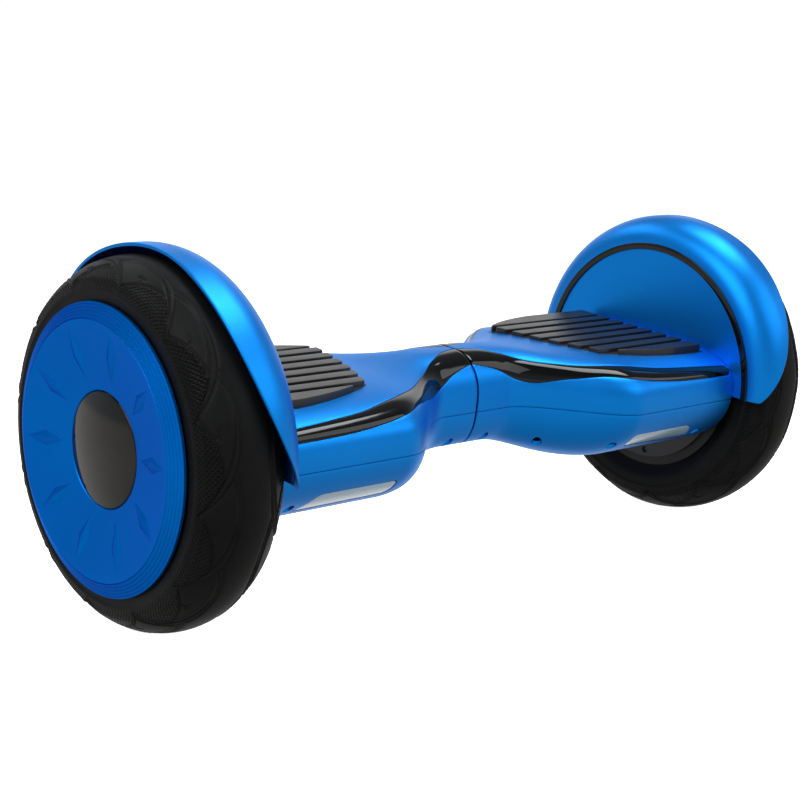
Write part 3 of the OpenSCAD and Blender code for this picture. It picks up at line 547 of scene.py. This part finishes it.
def fender_trim():
    """The black half ring let into the fender's flat wall."""
    corner = 0.5
    t = np.linspace(0, math.pi / 2, 4)
    r0, r1, x0, x1 = 110.3, 116.0, 248.5, 249.95
    section = [(x1, r0), (x1, r1)]
    section += [(x0 + corner - corner * math.sin(a), r1 - corner + corner * math.cos(a)) for a in t]
    section += [(x0 + corner - corner * math.cos(a), r0 + corner - corner * math.sin(a)) for a in t]
    turns = np.linspace(-1, 1, 161) * math.acos(1 / 112.0)
    rings = np.array([[(x, r * math.sin(a), AXLE_Z + r * math.cos(a)) for x, r in section]
                      for a in turns])
    m, n = rings.shape[:2]
    faces = grid(m, n, wrap_j=True) + [tuple(range(n)), tuple(range((m - 1) * n, m * n))[::-1]]
    return solid(rings.reshape(-1, 3), faces)


# ---------------------------------------------------------------- wheel
TREAD_R, TREAD_C = 43.6, 88.4  # radius of the arc across the tyre, and its centre's distance from the axle
GROOVE_DEEP, GROOVE_HALF = 1.15, 0.85
LIP_TALL, LIP_OFF, LIP_HALF = 0.45, 1.9, 0.9  # the raised line beside each groove
BAR_AT, BAR_DEEP, BAR_HALF = 24.4, 0.9, 0.8  # the short bar and stem between the grooves
BEAD_HALF, BEAD_R, BEAD_BORE = 26.9, 88.4, 82.65
REPEATS = 12
PERIOD = 360 / REPEATS
PER_DEGREE = 2.25  # mm along the tread


def tyre_section():
    """Half of the tyre's outer section as (x, r), from the crown to the bead."""
    t = np.radians(np.linspace(0, 47, 60))
    arc = np.stack([TREAD_R * np.sin(t), TREAD_C + TREAD_R * np.cos(t)], -1)
    wall_rows = np.array([(31.89, 118.13), (33.1, 114.6), (33.85, 111.2), (34.0, 108.0), (33.75, 104.6),
                          (33.1, 101.0), (32.0, 97.6), (30.4, 94.4), (28.6, 91.8), (27.3, 90.4)])
    k = np.linspace(0, len(wall_rows) - 1, 120)
    side = np.stack([[curve(list(enumerate(wall_rows[:, c])), q) for q in k] for c in (0, 1)], -1)
    return np.concatenate([arc, side[1:]])


# The tread's three curved grooves: distance from the crown in mm, at p degrees round the wheel.
def outer_line(p):
    return np.where(p <= 30, 16 - 5 * np.sin(np.pi * np.clip(p, 0, 30) / 30) ** 0.7,
                    16 + 22 * (np.clip(p - 30, 0, 20) / 14) ** 1.35)


def inner_line(p):
    near = 13.1 + 4.4 * (np.clip(12.5 - p, 0, 12.5) / 10) ** 2
    return near + 25.5 * (np.clip(p - 12.5, 0, 40) / 31.5) ** 2.1


def foot_line(p):
    return 23.4 + 13 * (np.clip(31 - p, 0, 20) / 16.4) ** 1.9


def tread(phi, s):
    """Depth of the grooves, height of their lips and share of knurl, at phi degrees in the repeat and s mm from
    the crown."""
    groove, lip, knurl = np.zeros_like(s), np.zeros_like(s), np.zeros_like(s)
    for shift in (0, PERIOD):
        p = phi + shift
        for at, start, end in ((outer_line, 0.0, 44.5), (inner_line, 1.5, 45.0), (foot_line, 14.0, 31.2)):
            slope = (at(p + 0.05) - at(p - 0.05)) / 0.1 / PER_DEGREE
            d = (s - at(p)) / np.sqrt(1 + slope * slope)
            live = ease(p, start - 0.6, start + 0.6) * (1 - ease(p, end - 0.6, end + 0.6))
            groove = np.maximum(groove, GROOVE_DEEP * live * np.exp(-(d / GROOVE_HALF) ** 2))
            lip = np.maximum(lip, LIP_TALL * live * np.exp(-((d - LIP_OFF) / LIP_HALF) ** 2))
        bar = np.exp(-((s - BAR_AT) / BAR_HALF) ** 2) * (1 - ease(np.abs(p - 19.2), 1.6, 2.3))
        stem = np.exp(-((p - 19.4 - 0.25 * (s - BAR_AT)) * PER_DEGREE / BAR_HALF) ** 2)
        stem = stem * ease(s, 23.8, 24.6) * (1 - ease(s, 28.2, 29.4))
        groove = np.maximum(groove, BAR_DEEP * np.maximum(bar, stem))
        leaf = ease(s - foot_line(p), 0.9, 1.6) * ease(p, 14.2, 15.4)
        tail = ease(s, 23.6, 24.4) * ease(s - inner_line(p), 0.9, 1.6)
        knurl = np.maximum(knurl, np.where(p > 31, tail, leaf))
    return groove, lip, knurl * (1 - ease(s, 41.0, 43.0))


def tyre():
    """Points and faces, and each point's share of knurl and distance across the tread."""
    section = tyre_section()
    length = np.concatenate([[0], np.cumsum(np.linalg.norm(np.diff(section, axis=0), axis=1))])
    rows = np.concatenate([[0, 3.2, 6.0], np.arange(8.4, 40.4, 0.84),
                           [41.8, 43.2, 44.6, 46.0, 47.4, 49.6, 52.4, 54.4, 56.6, 60.0], [length[-1]]])
    count = REPEATS * 76
    angles = np.arange(count) * 360.0 / count
    x, r = np.interp(rows, length, section[:, 0]), np.interp(rows, length, section[:, 1])
    dx, dr = np.gradient(x, rows), np.gradient(r, rows)
    size = np.hypot(dx, dr)
    halves = []
    for side in (-1, 1):
        phi = (angles[:, None] - 119 + (0 if side > 0 else PERIOD / 2)) % PERIOD + 0 * rows[None, :]
        s = rows[None, :] + 0 * phi
        groove, lip, knurl = tread(phi, s)
        # fine rings on the sidewall
        rings = 0.45 * np.exp(-((s - 44.6) / 0.9) ** 2) + 0.3 * np.exp(-((s - 54.4) / 0.9) ** 2)
        rings -= 0.4 * np.exp(-((s - 47.4) / 1.2) ** 2)
        out = np.where(s > 8, lip - groove, 0) + np.where(s > 42, rings, 0)
        out -= 0.5 * ease(s, 7.5, 30) * (1 - ease(s, 40, 43))
        half = np.stack([(x - out * dr / size) * side, r + out * dx / size, knurl, s * side], -1)
        halves.append(half)
    # from the inner bead over the crown to the outer bead, then back under it
    bead = [[(v, w, 0, 60) for v, w in ((BEAD_HALF, BEAD_R), (BEAD_HALF, BEAD_BORE), (-BEAD_HALF, BEAD_BORE),
                                        (-BEAD_HALF, BEAD_R))]] * count
    ring = np.concatenate([halves[0][:, :0:-1], halves[1], np.array(bead, float)], 1)
    turn = np.radians(angles)[:, None]
    x, r, knurl, across = np.moveaxis(ring, -1, 0)
    points = np.stack([WHEEL_X + x, r * np.cos(turn), AXLE_Z + r * np.sin(turn)], -1)
    faces = grid(count, ring.shape[1], wrap_i=True, wrap_j=True)
    return points.reshape(-1, 3), [f[::-1] for f in faces], knurl.reshape(-1), across.reshape(-1)


COVER_R, COVER_X, FACE_R, CAP_R, CAP_X = 102.0, 331.85, 90.7, 40.6, 322.0
KITES, KITE_IN, KITE_MID, KITE_OUT, KITE_HALF, KITE_RISE = 10, 48.5, 67.0, 86.3, 5.8, 1.9


def cover_face(r):
    """x of the cover's dished face at radius r."""
    return CAP_X + (COVER_X - CAP_X) * (r - CAP_R) / (FACE_R - CAP_R)


def hub_cover():
    """The dished plate with its stepped rim and the raised kites on its face."""
    hole, steps, rise = CAP_R + 0.3, 5, 1.1
    run = (COVER_R - FACE_R) / steps
    edge = COVER_X - steps * rise
    profile = [(cover_face(hole) - 2.8, hole), (COVER_X - 2.8, FACE_R), (edge - 2.2, COVER_R - 0.3),
               (edge - 1.9, COVER_R)]
    for i in range(steps):
        x, r = edge + rise * i, COVER_R - run * i
        profile += [(x + 0.05, r - 0.1), (x + 0.77, r - 1.58), (x + 0.6, r - 1.78), (x + 0.72, r - 2.04),
                    (x + 1.07, r - 2.16)]
    profile += [(COVER_X - 0.3, FACE_R), (COVER_X, FACE_R - 0.4), (COVER_X - 0.05, FACE_R - 1.0)]
    profile += [(cover_face(r), r) for r in (84.0, 66.0, 50.0, hole + 0.6)]
    profile += [(cover_face(hole) - 0.45, hole)]
    parts = [turned(profile, 240, close=True)]
    # a kite's corners, crest and root as (radius, sideways, height over the face)
    tips = [(KITE_IN, 0, -0.05), (KITE_MID, KITE_HALF, -0.05), (KITE_OUT, 0, -0.05), (KITE_MID, -KITE_HALF, -0.05),
            (KITE_MID, 0, KITE_RISE), (KITE_MID, 0, -0.9)]
    for k in range(KITES):
        c, s = math.cos(math.radians(360 // KITES * k)), math.sin(math.radians(360 // KITES * k))
        points = [(cover_face(math.hypot(r, t)) + h, r * c - t * s, AXLE_Z + r * s + t * c)
                  for r, t, h in tips]
        faces = [(0, 1, 4), (1, 2, 4), (2, 3, 4), (3, 0, 4), (1, 0, 5), (2, 1, 5), (3, 2, 5), (0, 3, 5)]
        parts.append(bevelled(solid(points, faces), 0.1, 20))
    return joined(*parts)


def centre_cap():
    rise = 5.0
    dome = (CAP_R ** 2 + rise ** 2) / (2 * rise)
    t = np.linspace(0, math.asin((CAP_R - 0.9) / dome), 30)
    top = [(CAP_X + rise - dome + dome * math.cos(a), dome * math.sin(a)) for a in t]
    top[0] = (top[0][0], 0.0)
    x, r = top[-1]
    edge = [(x - 0.12, r + 0.35), (x - 0.4, r + 0.7), (x - 0.9, CAP_R)]
    low = [(CAP_X - 2.6, CAP_R), (CAP_X - 2.6, 0.0)]
    return turned(top + edge + low, 160)


# ---------------------------------------------------------------- lens, screws and ports
LENS_BACK = 2.6  # how far the lens's back lies under the skin


def lamp_outline(grow):
    """The lens's outline as (x, z), grown by grow, with round corners."""
    # (x, z, length taken by the rounding)
    corners = [(132.3 - grow, 97.9 - grow, 7.0), (218.2 + 2 * grow, 96.4 - grow, 2.5),
               (205.6 + grow, 111.2 + grow, 6.0), (132.3 - grow, 111.2 + grow, 5.5)]
    outline = []
    for i, (*p, reach) in enumerate(corners):
        p = np.array(p)
        a = np.array(corners[i - 1][:2]) - p
        b = np.array(corners[(i + 1) % 4][:2]) - p
        a, b = a / np.linalg.norm(a), b / np.linalg.norm(b)
        for t in np.linspace(0, 1, 8):
            outline.append(p + a * reach * (1 - t) ** 2 + b * reach * t ** 2)
        q = np.array(corners[(i + 1) % 4][:2]) - b * corners[(i + 1) % 4][2]
        for t in np.linspace(0, 1, 14)[1:-1]:
            outline.append(mix(p + b * reach, q, t))
    return np.array(outline)


def headlight():
    outline = lamp_outline(0.0)
    centre = np.array([172.0, 104.0])
    # (scale of the outline, inset) from the back's edge over the front's middle to the back again
    rings = [(1.0, LENS_BACK), (1.0, 0.9), (0.994, 0.45), (0.982, 0.25), (0.96, 0.2)]
    rings += [(s, 0.2) for s in (0.85, 0.7, 0.55, 0.4, 0.25, 0.1, 0.0)]
    rings += [(s, LENS_BACK) for s in (0.0, 0.3, 0.6, 0.8)]
    points = []
    for scale, inset in rings:
        p = centre + (outline - centre) * scale
        points.append(np.stack([p[:, 0], -front_depth(p[:, 0], p[:, 1], inset), p[:, 1]], -1))
    faces = grid(len(rings), len(outline), wrap_i=True, wrap_j=True)
    return solid(np.concatenate(points), faces)


def lamp_cut():
    """The lens's opening, as a bar that runs through the lower shell's front."""
    shape = prism([tuple(p) for p in lamp_outline(0.45)], 40, 140)
    return solid(shape[0][:, [0, 2, 1]] * [1, -1, 1], shape[1])


def drum(radius, low, high, count=48):
    a = np.linspace(0, 2 * math.pi, count, endpoint=False)
    return prism(list(zip(radius * np.cos(a), radius * np.sin(a))), low, high)


SCREWS = [(x, y * s) for x, y in ((20, 27.5), (70, 42), (118, 82), (226, 85)) for s in (-1, 1)]
SCREW_HOLE_R = 4.4
SOCKET_X, BUTTON_X = 150, 190
PORT_Y, PORT_Z, PORT_TILT = 95.6, 119.4, math.radians(-112.5)
PORT_R, CUP_BORE, CUP_FLANGE = 12, 8.15, 14.4
PORT_TURN = [[1, 0, 0], [0, math.cos(PORT_TILT), -math.sin(PORT_TILT)],
             [0, math.sin(PORT_TILT), math.cos(PORT_TILT)]]


def at_port(shape, x):
    """A shape written about the z axis, put with z pointing out of the back at the port at x."""
    return moved(shape, PORT_TURN, (x, PORT_Y, PORT_Z))


def box_shape(low, high):
    (x0, y0, z0), (x1, y1, z1) = low, high
    return prism([(x0, y0), (x1, y0), (x1, y1), (x0, y1)], z0, z1)


# ---------------------------------------------------------------- materials
class Nodes:
    """A short way to write a material's nodes."""

    def __init__(self, name):
        self.mat = bpy.data.materials.new(name)
        self.mat.use_nodes = True
        self.tree = self.mat.node_tree
        self.shader = self.tree.nodes["Principled BSDF"]
        self.spot = self.new("ShaderNodeTexCoord").outputs["Object"]

    def new(self, kind, **values):
        n = self.tree.nodes.new(kind)
        for k, v in values.items():
            if hasattr(n, k) and k not in n.inputs:
                setattr(n, k, v)
            else:
                self.put(n.inputs[k], v)
        return n

    def put(self, socket, value):
        if isinstance(value, bpy.types.NodeSocket):
            self.tree.links.new(value, socket)
        else:
            socket.default_value = value

    def set(self, **values):
        for k, v in values.items():
            self.put(self.shader.inputs[k.replace("_", " ")], v)

    def math(self, op, a, b=0.0):
        n = self.tree.nodes.new("ShaderNodeMath")
        n.operation = op
        for s, v in zip(n.inputs, (a, b)):
            self.put(s, v)
        return n.outputs[0]

    def noise(self, scale, detail=3.0, rough=0.5, at=None):
        n = self.new("ShaderNodeTexNoise", Scale=scale, Detail=detail, Roughness=rough)
        self.put(n.inputs["Vector"], at or self.spot)
        return n.outputs["Fac"]

    def ramp(self, fac, stops):
        n = self.tree.nodes.new("ShaderNodeValToRGB")
        self.put(n.inputs[0], fac)
        e = n.color_ramp.elements
        while len(e) < len(stops):
            e.new(0.5)
        for item, (at, colour) in zip(e, stops):
            item.position = at
            item.color = (*colour, 1.0)
        return n.outputs[0]

    def span(self, fac, low, high):
        n = self.new("ShaderNodeMapRange")
        self.put(n.inputs["Value"], fac)
        n.inputs["To Min"].default_value, n.inputs["To Max"].default_value = low, high
        return n.outputs[0]

    def bump(self, height, strength, distance, under=None):
        n = self.tree.nodes.new("ShaderNodeBump")
        n.inputs["Strength"].default_value = strength
        n.inputs["Distance"].default_value = distance
        self.put(n.inputs["Height"], height)
        if under is not None:
            self.put(n.inputs["Normal"], under)
        return n.outputs[0]


def paint(name, dark, light, metallic, rough, grain=2600.0, coat=0.0, coat_rough=0.1, bump=0.08,
          tint=(1, 1, 1)):
    """A coat with a slow change of colour and roughness and a fine grain."""
    n = Nodes(name)
    n.set(Base_Color=n.ramp(n.noise(9.0, 4.0), [(0.3, dark), (0.7, light)]), Metallic=metallic,
          Roughness=n.span(n.noise(60.0, 4.0), rough - 0.035, rough + 0.035), Coat_Weight=coat,
          Coat_Roughness=coat_rough, Specular_Tint=(*tint, 1.0),
          Normal=n.bump(n.noise(grain, 2.0), bump, 0.0002, n.bump(n.noise(42.0, 2.0), 0.05, 0.0004)))
    materials[name] = n.mat
    return n


def make_materials():
    paint("body_blue", (0.002, 0.235, 0.77), (0.003, 0.255, 0.81), 0.9, 0.41, bump=0.10,
          tint=(0.9, 0.95, 1.0))
    paint("hub_blue", (0.0005, 0.150, 0.60), (0.001, 0.165, 0.64), 0.9, 0.42, grain=1800.0, bump=0.12,
          tint=(0.0, 0.4, 1.0))
    n = paint("gloss_black", (0.0020, 0.0020, 0.0023), (0.003, 0.003, 0.0033), 0.0, 0.07, grain=900.0,
              bump=0.01)
    n.set(Specular_IOR_Level=0.36)
    n = paint("black_coat", (0.006, 0.006, 0.0065), (0.010, 0.010, 0.011), 0.0, 0.5, grain=1200.0, bump=0.2)
    n.set(Specular_IOR_Level=0.3)
    paint("dark_plastic", (0.012, 0.012, 0.013), (0.018, 0.018, 0.019), 0.0, 0.5, grain=1500.0, bump=0.15)
    paint("button_red", (0.42, 0.012, 0.010), (0.50, 0.016, 0.012), 0.0, 0.32, coat=0.3)
    paint("battery_wrap", (0.008, 0.045, 0.16), (0.012, 0.060, 0.20), 0.0, 0.35, grain=500.0, bump=0.2)
    paint("cable_black", (0.010, 0.010, 0.010), (0.016, 0.016, 0.016), 0.0, 0.45)
    paint("bronze", (0.28, 0.15, 0.055), (0.36, 0.20, 0.075), 1.0, 0.32, grain=1200.0)

    paint("cast_aluminium", (0.42, 0.43, 0.44), (0.52, 0.53, 0.54), 1.0, 0.42, grain=700.0, bump=0.3)
    n = Nodes("steel")
    stretched = n.new("ShaderNodeMapping", Vector=n.spot)
    stretched.inputs["Scale"].default_value = (1.0, 30.0, 30.0)
    n.set(Base_Color=n.ramp(n.noise(24.0), [(0.3, (0.34, 0.34, 0.35)), (0.7, (0.46, 0.46, 0.47))]),
          Metallic=1.0, Roughness=n.span(n.noise(80.0, at=stretched.outputs[0]), 0.22, 0.4),
          Normal=n.bump(n.noise(60.0, at=stretched.outputs[0]), 0.15, 0.0002))
    materials["steel"] = n.mat

    n = Nodes("copper_windings")
    wave = n.new("ShaderNodeTexWave", Scale=900.0, Distortion=0.4)
    n.put(wave.inputs["Vector"], n.spot)
    n.set(Base_Color=n.ramp(wave.outputs["Fac"], [(0.1, (0.16, 0.045, 0.018)), (0.8, (0.62, 0.24, 0.10))]),
          Metallic=1.0, Roughness=n.span(wave.outputs["Fac"], 0.28, 0.42),
          Normal=n.bump(wave.outputs["Fac"], 0.5, 0.0003))
    materials["copper_windings"] = n.mat

    n = Nodes("circuit_board")
    cells = n.new("ShaderNodeTexVoronoi", Scale=160.0)
    n.put(cells.inputs["Vector"], n.spot)
    n.set(Base_Color=n.ramp(cells.outputs["Distance"],
                            [(0.05, (0.03, 0.16, 0.06)), (0.5, (0.005, 0.055, 0.02))]),
          Roughness=n.span(n.noise(120.0), 0.3, 0.5), Normal=n.bump(cells.outputs["Distance"], 0.3, 0.0002))
    materials["circuit_board"] = n.mat

    n = Nodes("lamp_lens")
    ribs = n.new("ShaderNodeTexWave", Scale=260.0, Distortion=0.0)
    n.put(ribs.inputs["Vector"], n.spot)
    n.set(Base_Color=n.ramp(n.noise(30.0), [(0.3, (0.33, 0.50, 0.66)), (0.7, (0.38, 0.56, 0.73))]),
          Roughness=n.span(n.noise(90.0), 0.14, 0.24), Coat_Weight=0.6, Coat_Roughness=0.04,
          Subsurface_Weight=0.15, Subsurface_Scale=0.002, Normal=n.bump(ribs.outputs["Fac"], 0.10, 0.0002))
    materials["lamp_lens"] = n.mat

    n = Nodes("pad_rubber")
    n.set(Base_Color=n.ramp(n.noise(40.0, 5.0),
                            [(0.3, (0.0085, 0.0085, 0.009)), (0.75, (0.014, 0.014, 0.015))]),
          Roughness=n.span(n.noise(70.0, 4.0), 0.28, 0.40),
          Normal=n.bump(n.noise(1400.0, 3.0), 0.12, 0.0002, n.bump(n.noise(260.0, 2.0), 0.04, 0.0003)))
    materials["pad_rubber"] = n.mat

    # the knurl is two crossed sets of waves, where the tyre's points ask for it
    n = Nodes("tyre_rubber")
    per_turn, per_mm = 204.0, 1.7
    axes = n.new("ShaderNodeSeparateXYZ", Vector=n.spot)
    turn = n.math("ARCTAN2", n.math("SUBTRACT", axes.outputs["Z"], AXLE_Z * MM), axes.outputs["Y"])
    across = n.math("MULTIPLY", n.new("ShaderNodeAttribute", attribute_name="across").outputs["Fac"], per_mm)
    one = n.math("SINE", n.math("ADD", n.math("MULTIPLY", turn, per_turn), across))
    two = n.math("SINE", n.math("SUBTRACT", n.math("MULTIPLY", turn, per_turn), across))
    mask = n.new("ShaderNodeAttribute", attribute_name="knurl").outputs["Fac"]
    knurl = n.math("MULTIPLY", n.math("MAXIMUM", one, two), mask)
    fine = n.bump(n.noise(1500.0, 3.0), 0.18, 0.0003)
    n.set(Base_Color=n.ramp(n.noise(26.0, 5.0),
                            [(0.3, (0.0028, 0.0030, 0.0031)), (0.75, (0.0055, 0.0058, 0.0060))]),
          Roughness=n.span(n.noise(50.0, 4.0), 0.46, 0.58), Normal=n.bump(knurl, 0.9, 0.0008, fine),
          Specular_IOR_Level=0.12)
    materials["tyre_rubber"] = n.mat


make_materials()

# ---------------------------------------------------------------- build
upper = upper_shell()
upper = cut(upper, prism([tuple(p) for p in pad_outline(PAD_SHELL_GAP)], 150, 190))
lower = cut(lower_shell(), lamp_cut())
for x, y in SCREWS:
    lower = cut(lower, moved(drum(SCREW_HOLE_R, 60, 115, 32), np.eye(3), (x, y, 0)))
# the left half's lower shell also has the two ports, and room for the charge cap's hinge
ports = lower
for x in (SOCKET_X, BUTTON_X):
    ports = cut(ports, at_port(drum(PORT_R, 0, 20), x))
ports = cut(ports, at_port(box_shape((-7.5, 0, 0), (7.5, 16, 12)), SOCKET_X))
cup_profile = [(-4.0, CUP_BORE), (0.0, CUP_BORE), (0.0, 11.9), (0.9, 12.05), (0.9, CUP_FLANGE), (-4.0, CUP_FLANGE)]
cup = moved(turned(cup_profile, 64, close=True, axis=(0.0, 0.0)), [[0, 0, -1], [0, 1, 0], [1, 0, 0]])
lens, pad, shield, trim = headlight(), foot_pad(), fender(), fender_trim()
cover, dome = hub_cover(), centre_cap()
front_strip, rear_strip = strip(True), strip(False)
tread_points, tread_faces, knurl_share, tread_across = tyre()

for side, name in SIDES:
    half, wheel, pedal = name + "_half", name + "_wheel", name + "_pedal"
    place(name + "_deck_shell", upper, "body_blue", half, side, replaces=name + "_upper_shell")
    place(name + "_belly_shell", lower if side > 0 else ports, "body_blue", half, side,
          replaces=name + "_lower_shell")
    place(name + "_front_gloss", front_strip, "gloss_black", half, side, replaces=name + "_front_strip")
    place(name + "_rear_gloss", rear_strip, "gloss_black", half, side, replaces=name + "_rear_strip")
    place(name + "_lens", lens, "lamp_lens", half, side, replaces=name + "_headlight")
    place(name + "_mudguard", shield, "body_blue", half, side, replaces=name + "_fender")
    place(name + "_wall_trim", trim, "gloss_black", half, side, replaces=name + "_fender_trim")
    place(name + "_tread_pad", pad, "pad_rubber", pedal, side, replaces=name + "_foot_pad")
    place(name + "_cover_plate", cover, "hub_blue", wheel, side, lean=False,
          replaces=name + "_hub_cover", sharp=18)
    place(name + "_domed_cap", dome, "gloss_black", wheel, side, lean=False, replaces=name + "_centre_cap")
    rubber = place(name + "_tread_tyre", (tread_points, tread_faces), "tyre_rubber", wheel, side, lean=False,
                   replaces=name + "_tyre", sharp=0)
    for key, values in (("knurl", knurl_share), ("across", tread_across)):
        rubber.data.attributes.new(key, "FLOAT", "POINT").data.foreach_set("value", values.astype(np.float32))
for x, name in ((SOCKET_X, "socket"), (BUTTON_X, "button")):
    place("port_cup_" + name, at_port(cup, x), "body_blue", "left_half", -1)

# CAD pieces that stay take the finish that their packed material names; the rims are shown with a black coat
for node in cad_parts.values():
    if node.hide_render:
        continue
    for slot_ in node.material_slots:
        key = slot_.material.name.split(".")[0] if slot_.material else ""
        if node.name.endswith("_rim"):
            key = "black_coat"
        if key in materials:
            slot_.material = materials[key]

# ---------------------------------------------------------------- stage, camera and light
def stage_material(name, colour, glow):
    m = bpy.data.materials.new(name)
    m.use_nodes = True
    s = m.node_tree.nodes["Principled BSDF"]
    s.inputs["Base Color"].default_value = (*colour, 1)
    s.inputs["Roughness"].default_value = 1.0
    s.inputs["Specular IOR Level"].default_value = 0.0
    s.inputs["Emission Color"].default_value = (1, 1, 1, 1)
    s.inputs["Emission Strength"].default_value = glow
    return m


FLOOR = 30  # metres from the middle to each side
floor_mesh = bpy.data.meshes.new("floor")
floor_mesh.from_pydata([(-FLOOR, -FLOOR, 0), (FLOOR, -FLOOR, 0), (FLOOR, FLOOR, 0), (-FLOOR, FLOOR, 0)], [],
                       [(0, 1, 2, 3)])
floor_mesh.materials.append(stage_material("studio_white", (0.9, 0.9, 0.9), 1.0))
floor = bpy.data.objects.new("floor", floor_mesh)
bpy.context.scene.collection.objects.link(floor)
floor.visible_diffuse = False
floor.visible_glossy = False

camera = bpy.data.objects.new("camera", bpy.data.cameras.new("camera"))
bpy.context.scene.collection.objects.link(camera)
camera.location = (-0.9056, -0.9434, 0.3434)
camera.rotation_euler = (math.radians(80.79), 0, math.radians(-42.24))
camera.data.lens = 73.36
camera.data.sensor_width = 36
bpy.context.scene.camera = camera

# a white wall ahead of the camera, in a room that is lighter below and darker above, for the reflections
world = bpy.data.worlds.new("studio")
bpy.context.scene.world = world
world.use_nodes = True
tree = world.node_tree
coord = tree.nodes.new("ShaderNodeTexCoord")
ahead = tree.nodes.new("ShaderNodeVectorMath")
ahead.operation = "DOT_PRODUCT"
ahead.inputs[1].default_value = (0.66, 0.73, -0.12)
tree.links.new(coord.outputs["Generated"], ahead.inputs[0])
split = tree.nodes.new("ShaderNodeSeparateXYZ")
tree.links.new(coord.outputs["Generated"], split.inputs[0])
height = tree.nodes.new("ShaderNodeMapRange")
height.inputs["From Min"].default_value, height.inputs["From Max"].default_value = -1, 1
tree.links.new(split.outputs["Z"], height.inputs["Value"])
room = tree.nodes.new("ShaderNodeValToRGB")
tree.links.new(height.outputs[0], room.inputs[0])
stops = [(0.0, (0.40, 0.39, 0.38)), (0.2, (0.55, 0.54, 0.52)), (0.375, (0.80, 0.78, 0.74)),
         (0.490, (0.76, 0.74, 0.71)), (0.510, (0.44, 0.46, 0.50)), (0.66, (0.36, 0.38, 0.42)),
         (0.80, (0.16, 0.17, 0.19)), (1.0, (0.12, 0.13, 0.14))]
while len(room.color_ramp.elements) < len(stops):
    room.color_ramp.elements.new(0.5)
for e, (at, colour) in zip(room.color_ramp.elements, stops):
    e.position = at
    e.color = (*colour, 1)
white = tree.nodes.new("ShaderNodeMapRange")
white.interpolation_type = "SMOOTHSTEP"
white.inputs["From Min"].default_value, white.inputs["From Max"].default_value = 0.70, 0.86
tree.links.new(ahead.outputs["Value"], white.inputs["Value"])
blend = tree.nodes.new("ShaderNodeMix")
blend.data_type = "RGBA"
tree.links.new(white.outputs[0], blend.inputs[0])
tree.links.new(room.outputs[0], blend.inputs[6])
blend.inputs[7].default_value = (1.02, 1.02, 1.02, 1)
background = tree.nodes["Background"]
tree.links.new(blend.outputs[2], background.inputs[0])
background.inputs[1].default_value = 1.0


def softbox(name, at, target, size, power):
    light = bpy.data.lights.new(name, "AREA")
    light.shape = "RECTANGLE"
    light.size, light.size_y = size
    light.energy = power
    o = bpy.data.objects.new(name, light)
    bpy.context.scene.collection.objects.link(o)
    o.location = at
    o.rotation_euler = (Vector(target) - Vector(at)).to_track_quat("-Z", "Y").to_euler()


softbox("overhead", (0.75, -0.15, 2.2), (0.1, 0, 0.1), (1.0, 1.3), 27)
softbox("key", (-1.7, -0.5, 1.9), (0, 0, 0.15), (2.0, 1.8), 36)
softbox("front", (1.5, -2.3, 1.9), (0.1, 0, 0.12), (3.0, 1.7), 28)
softbox("back", (-0.3, 1.6, 1.9), (0, 0, 0.1), (1.6, 0.8), 9)

scene = bpy.context.scene
scene.view_settings.view_transform = "Standard"
scene.view_settings.look = "None"
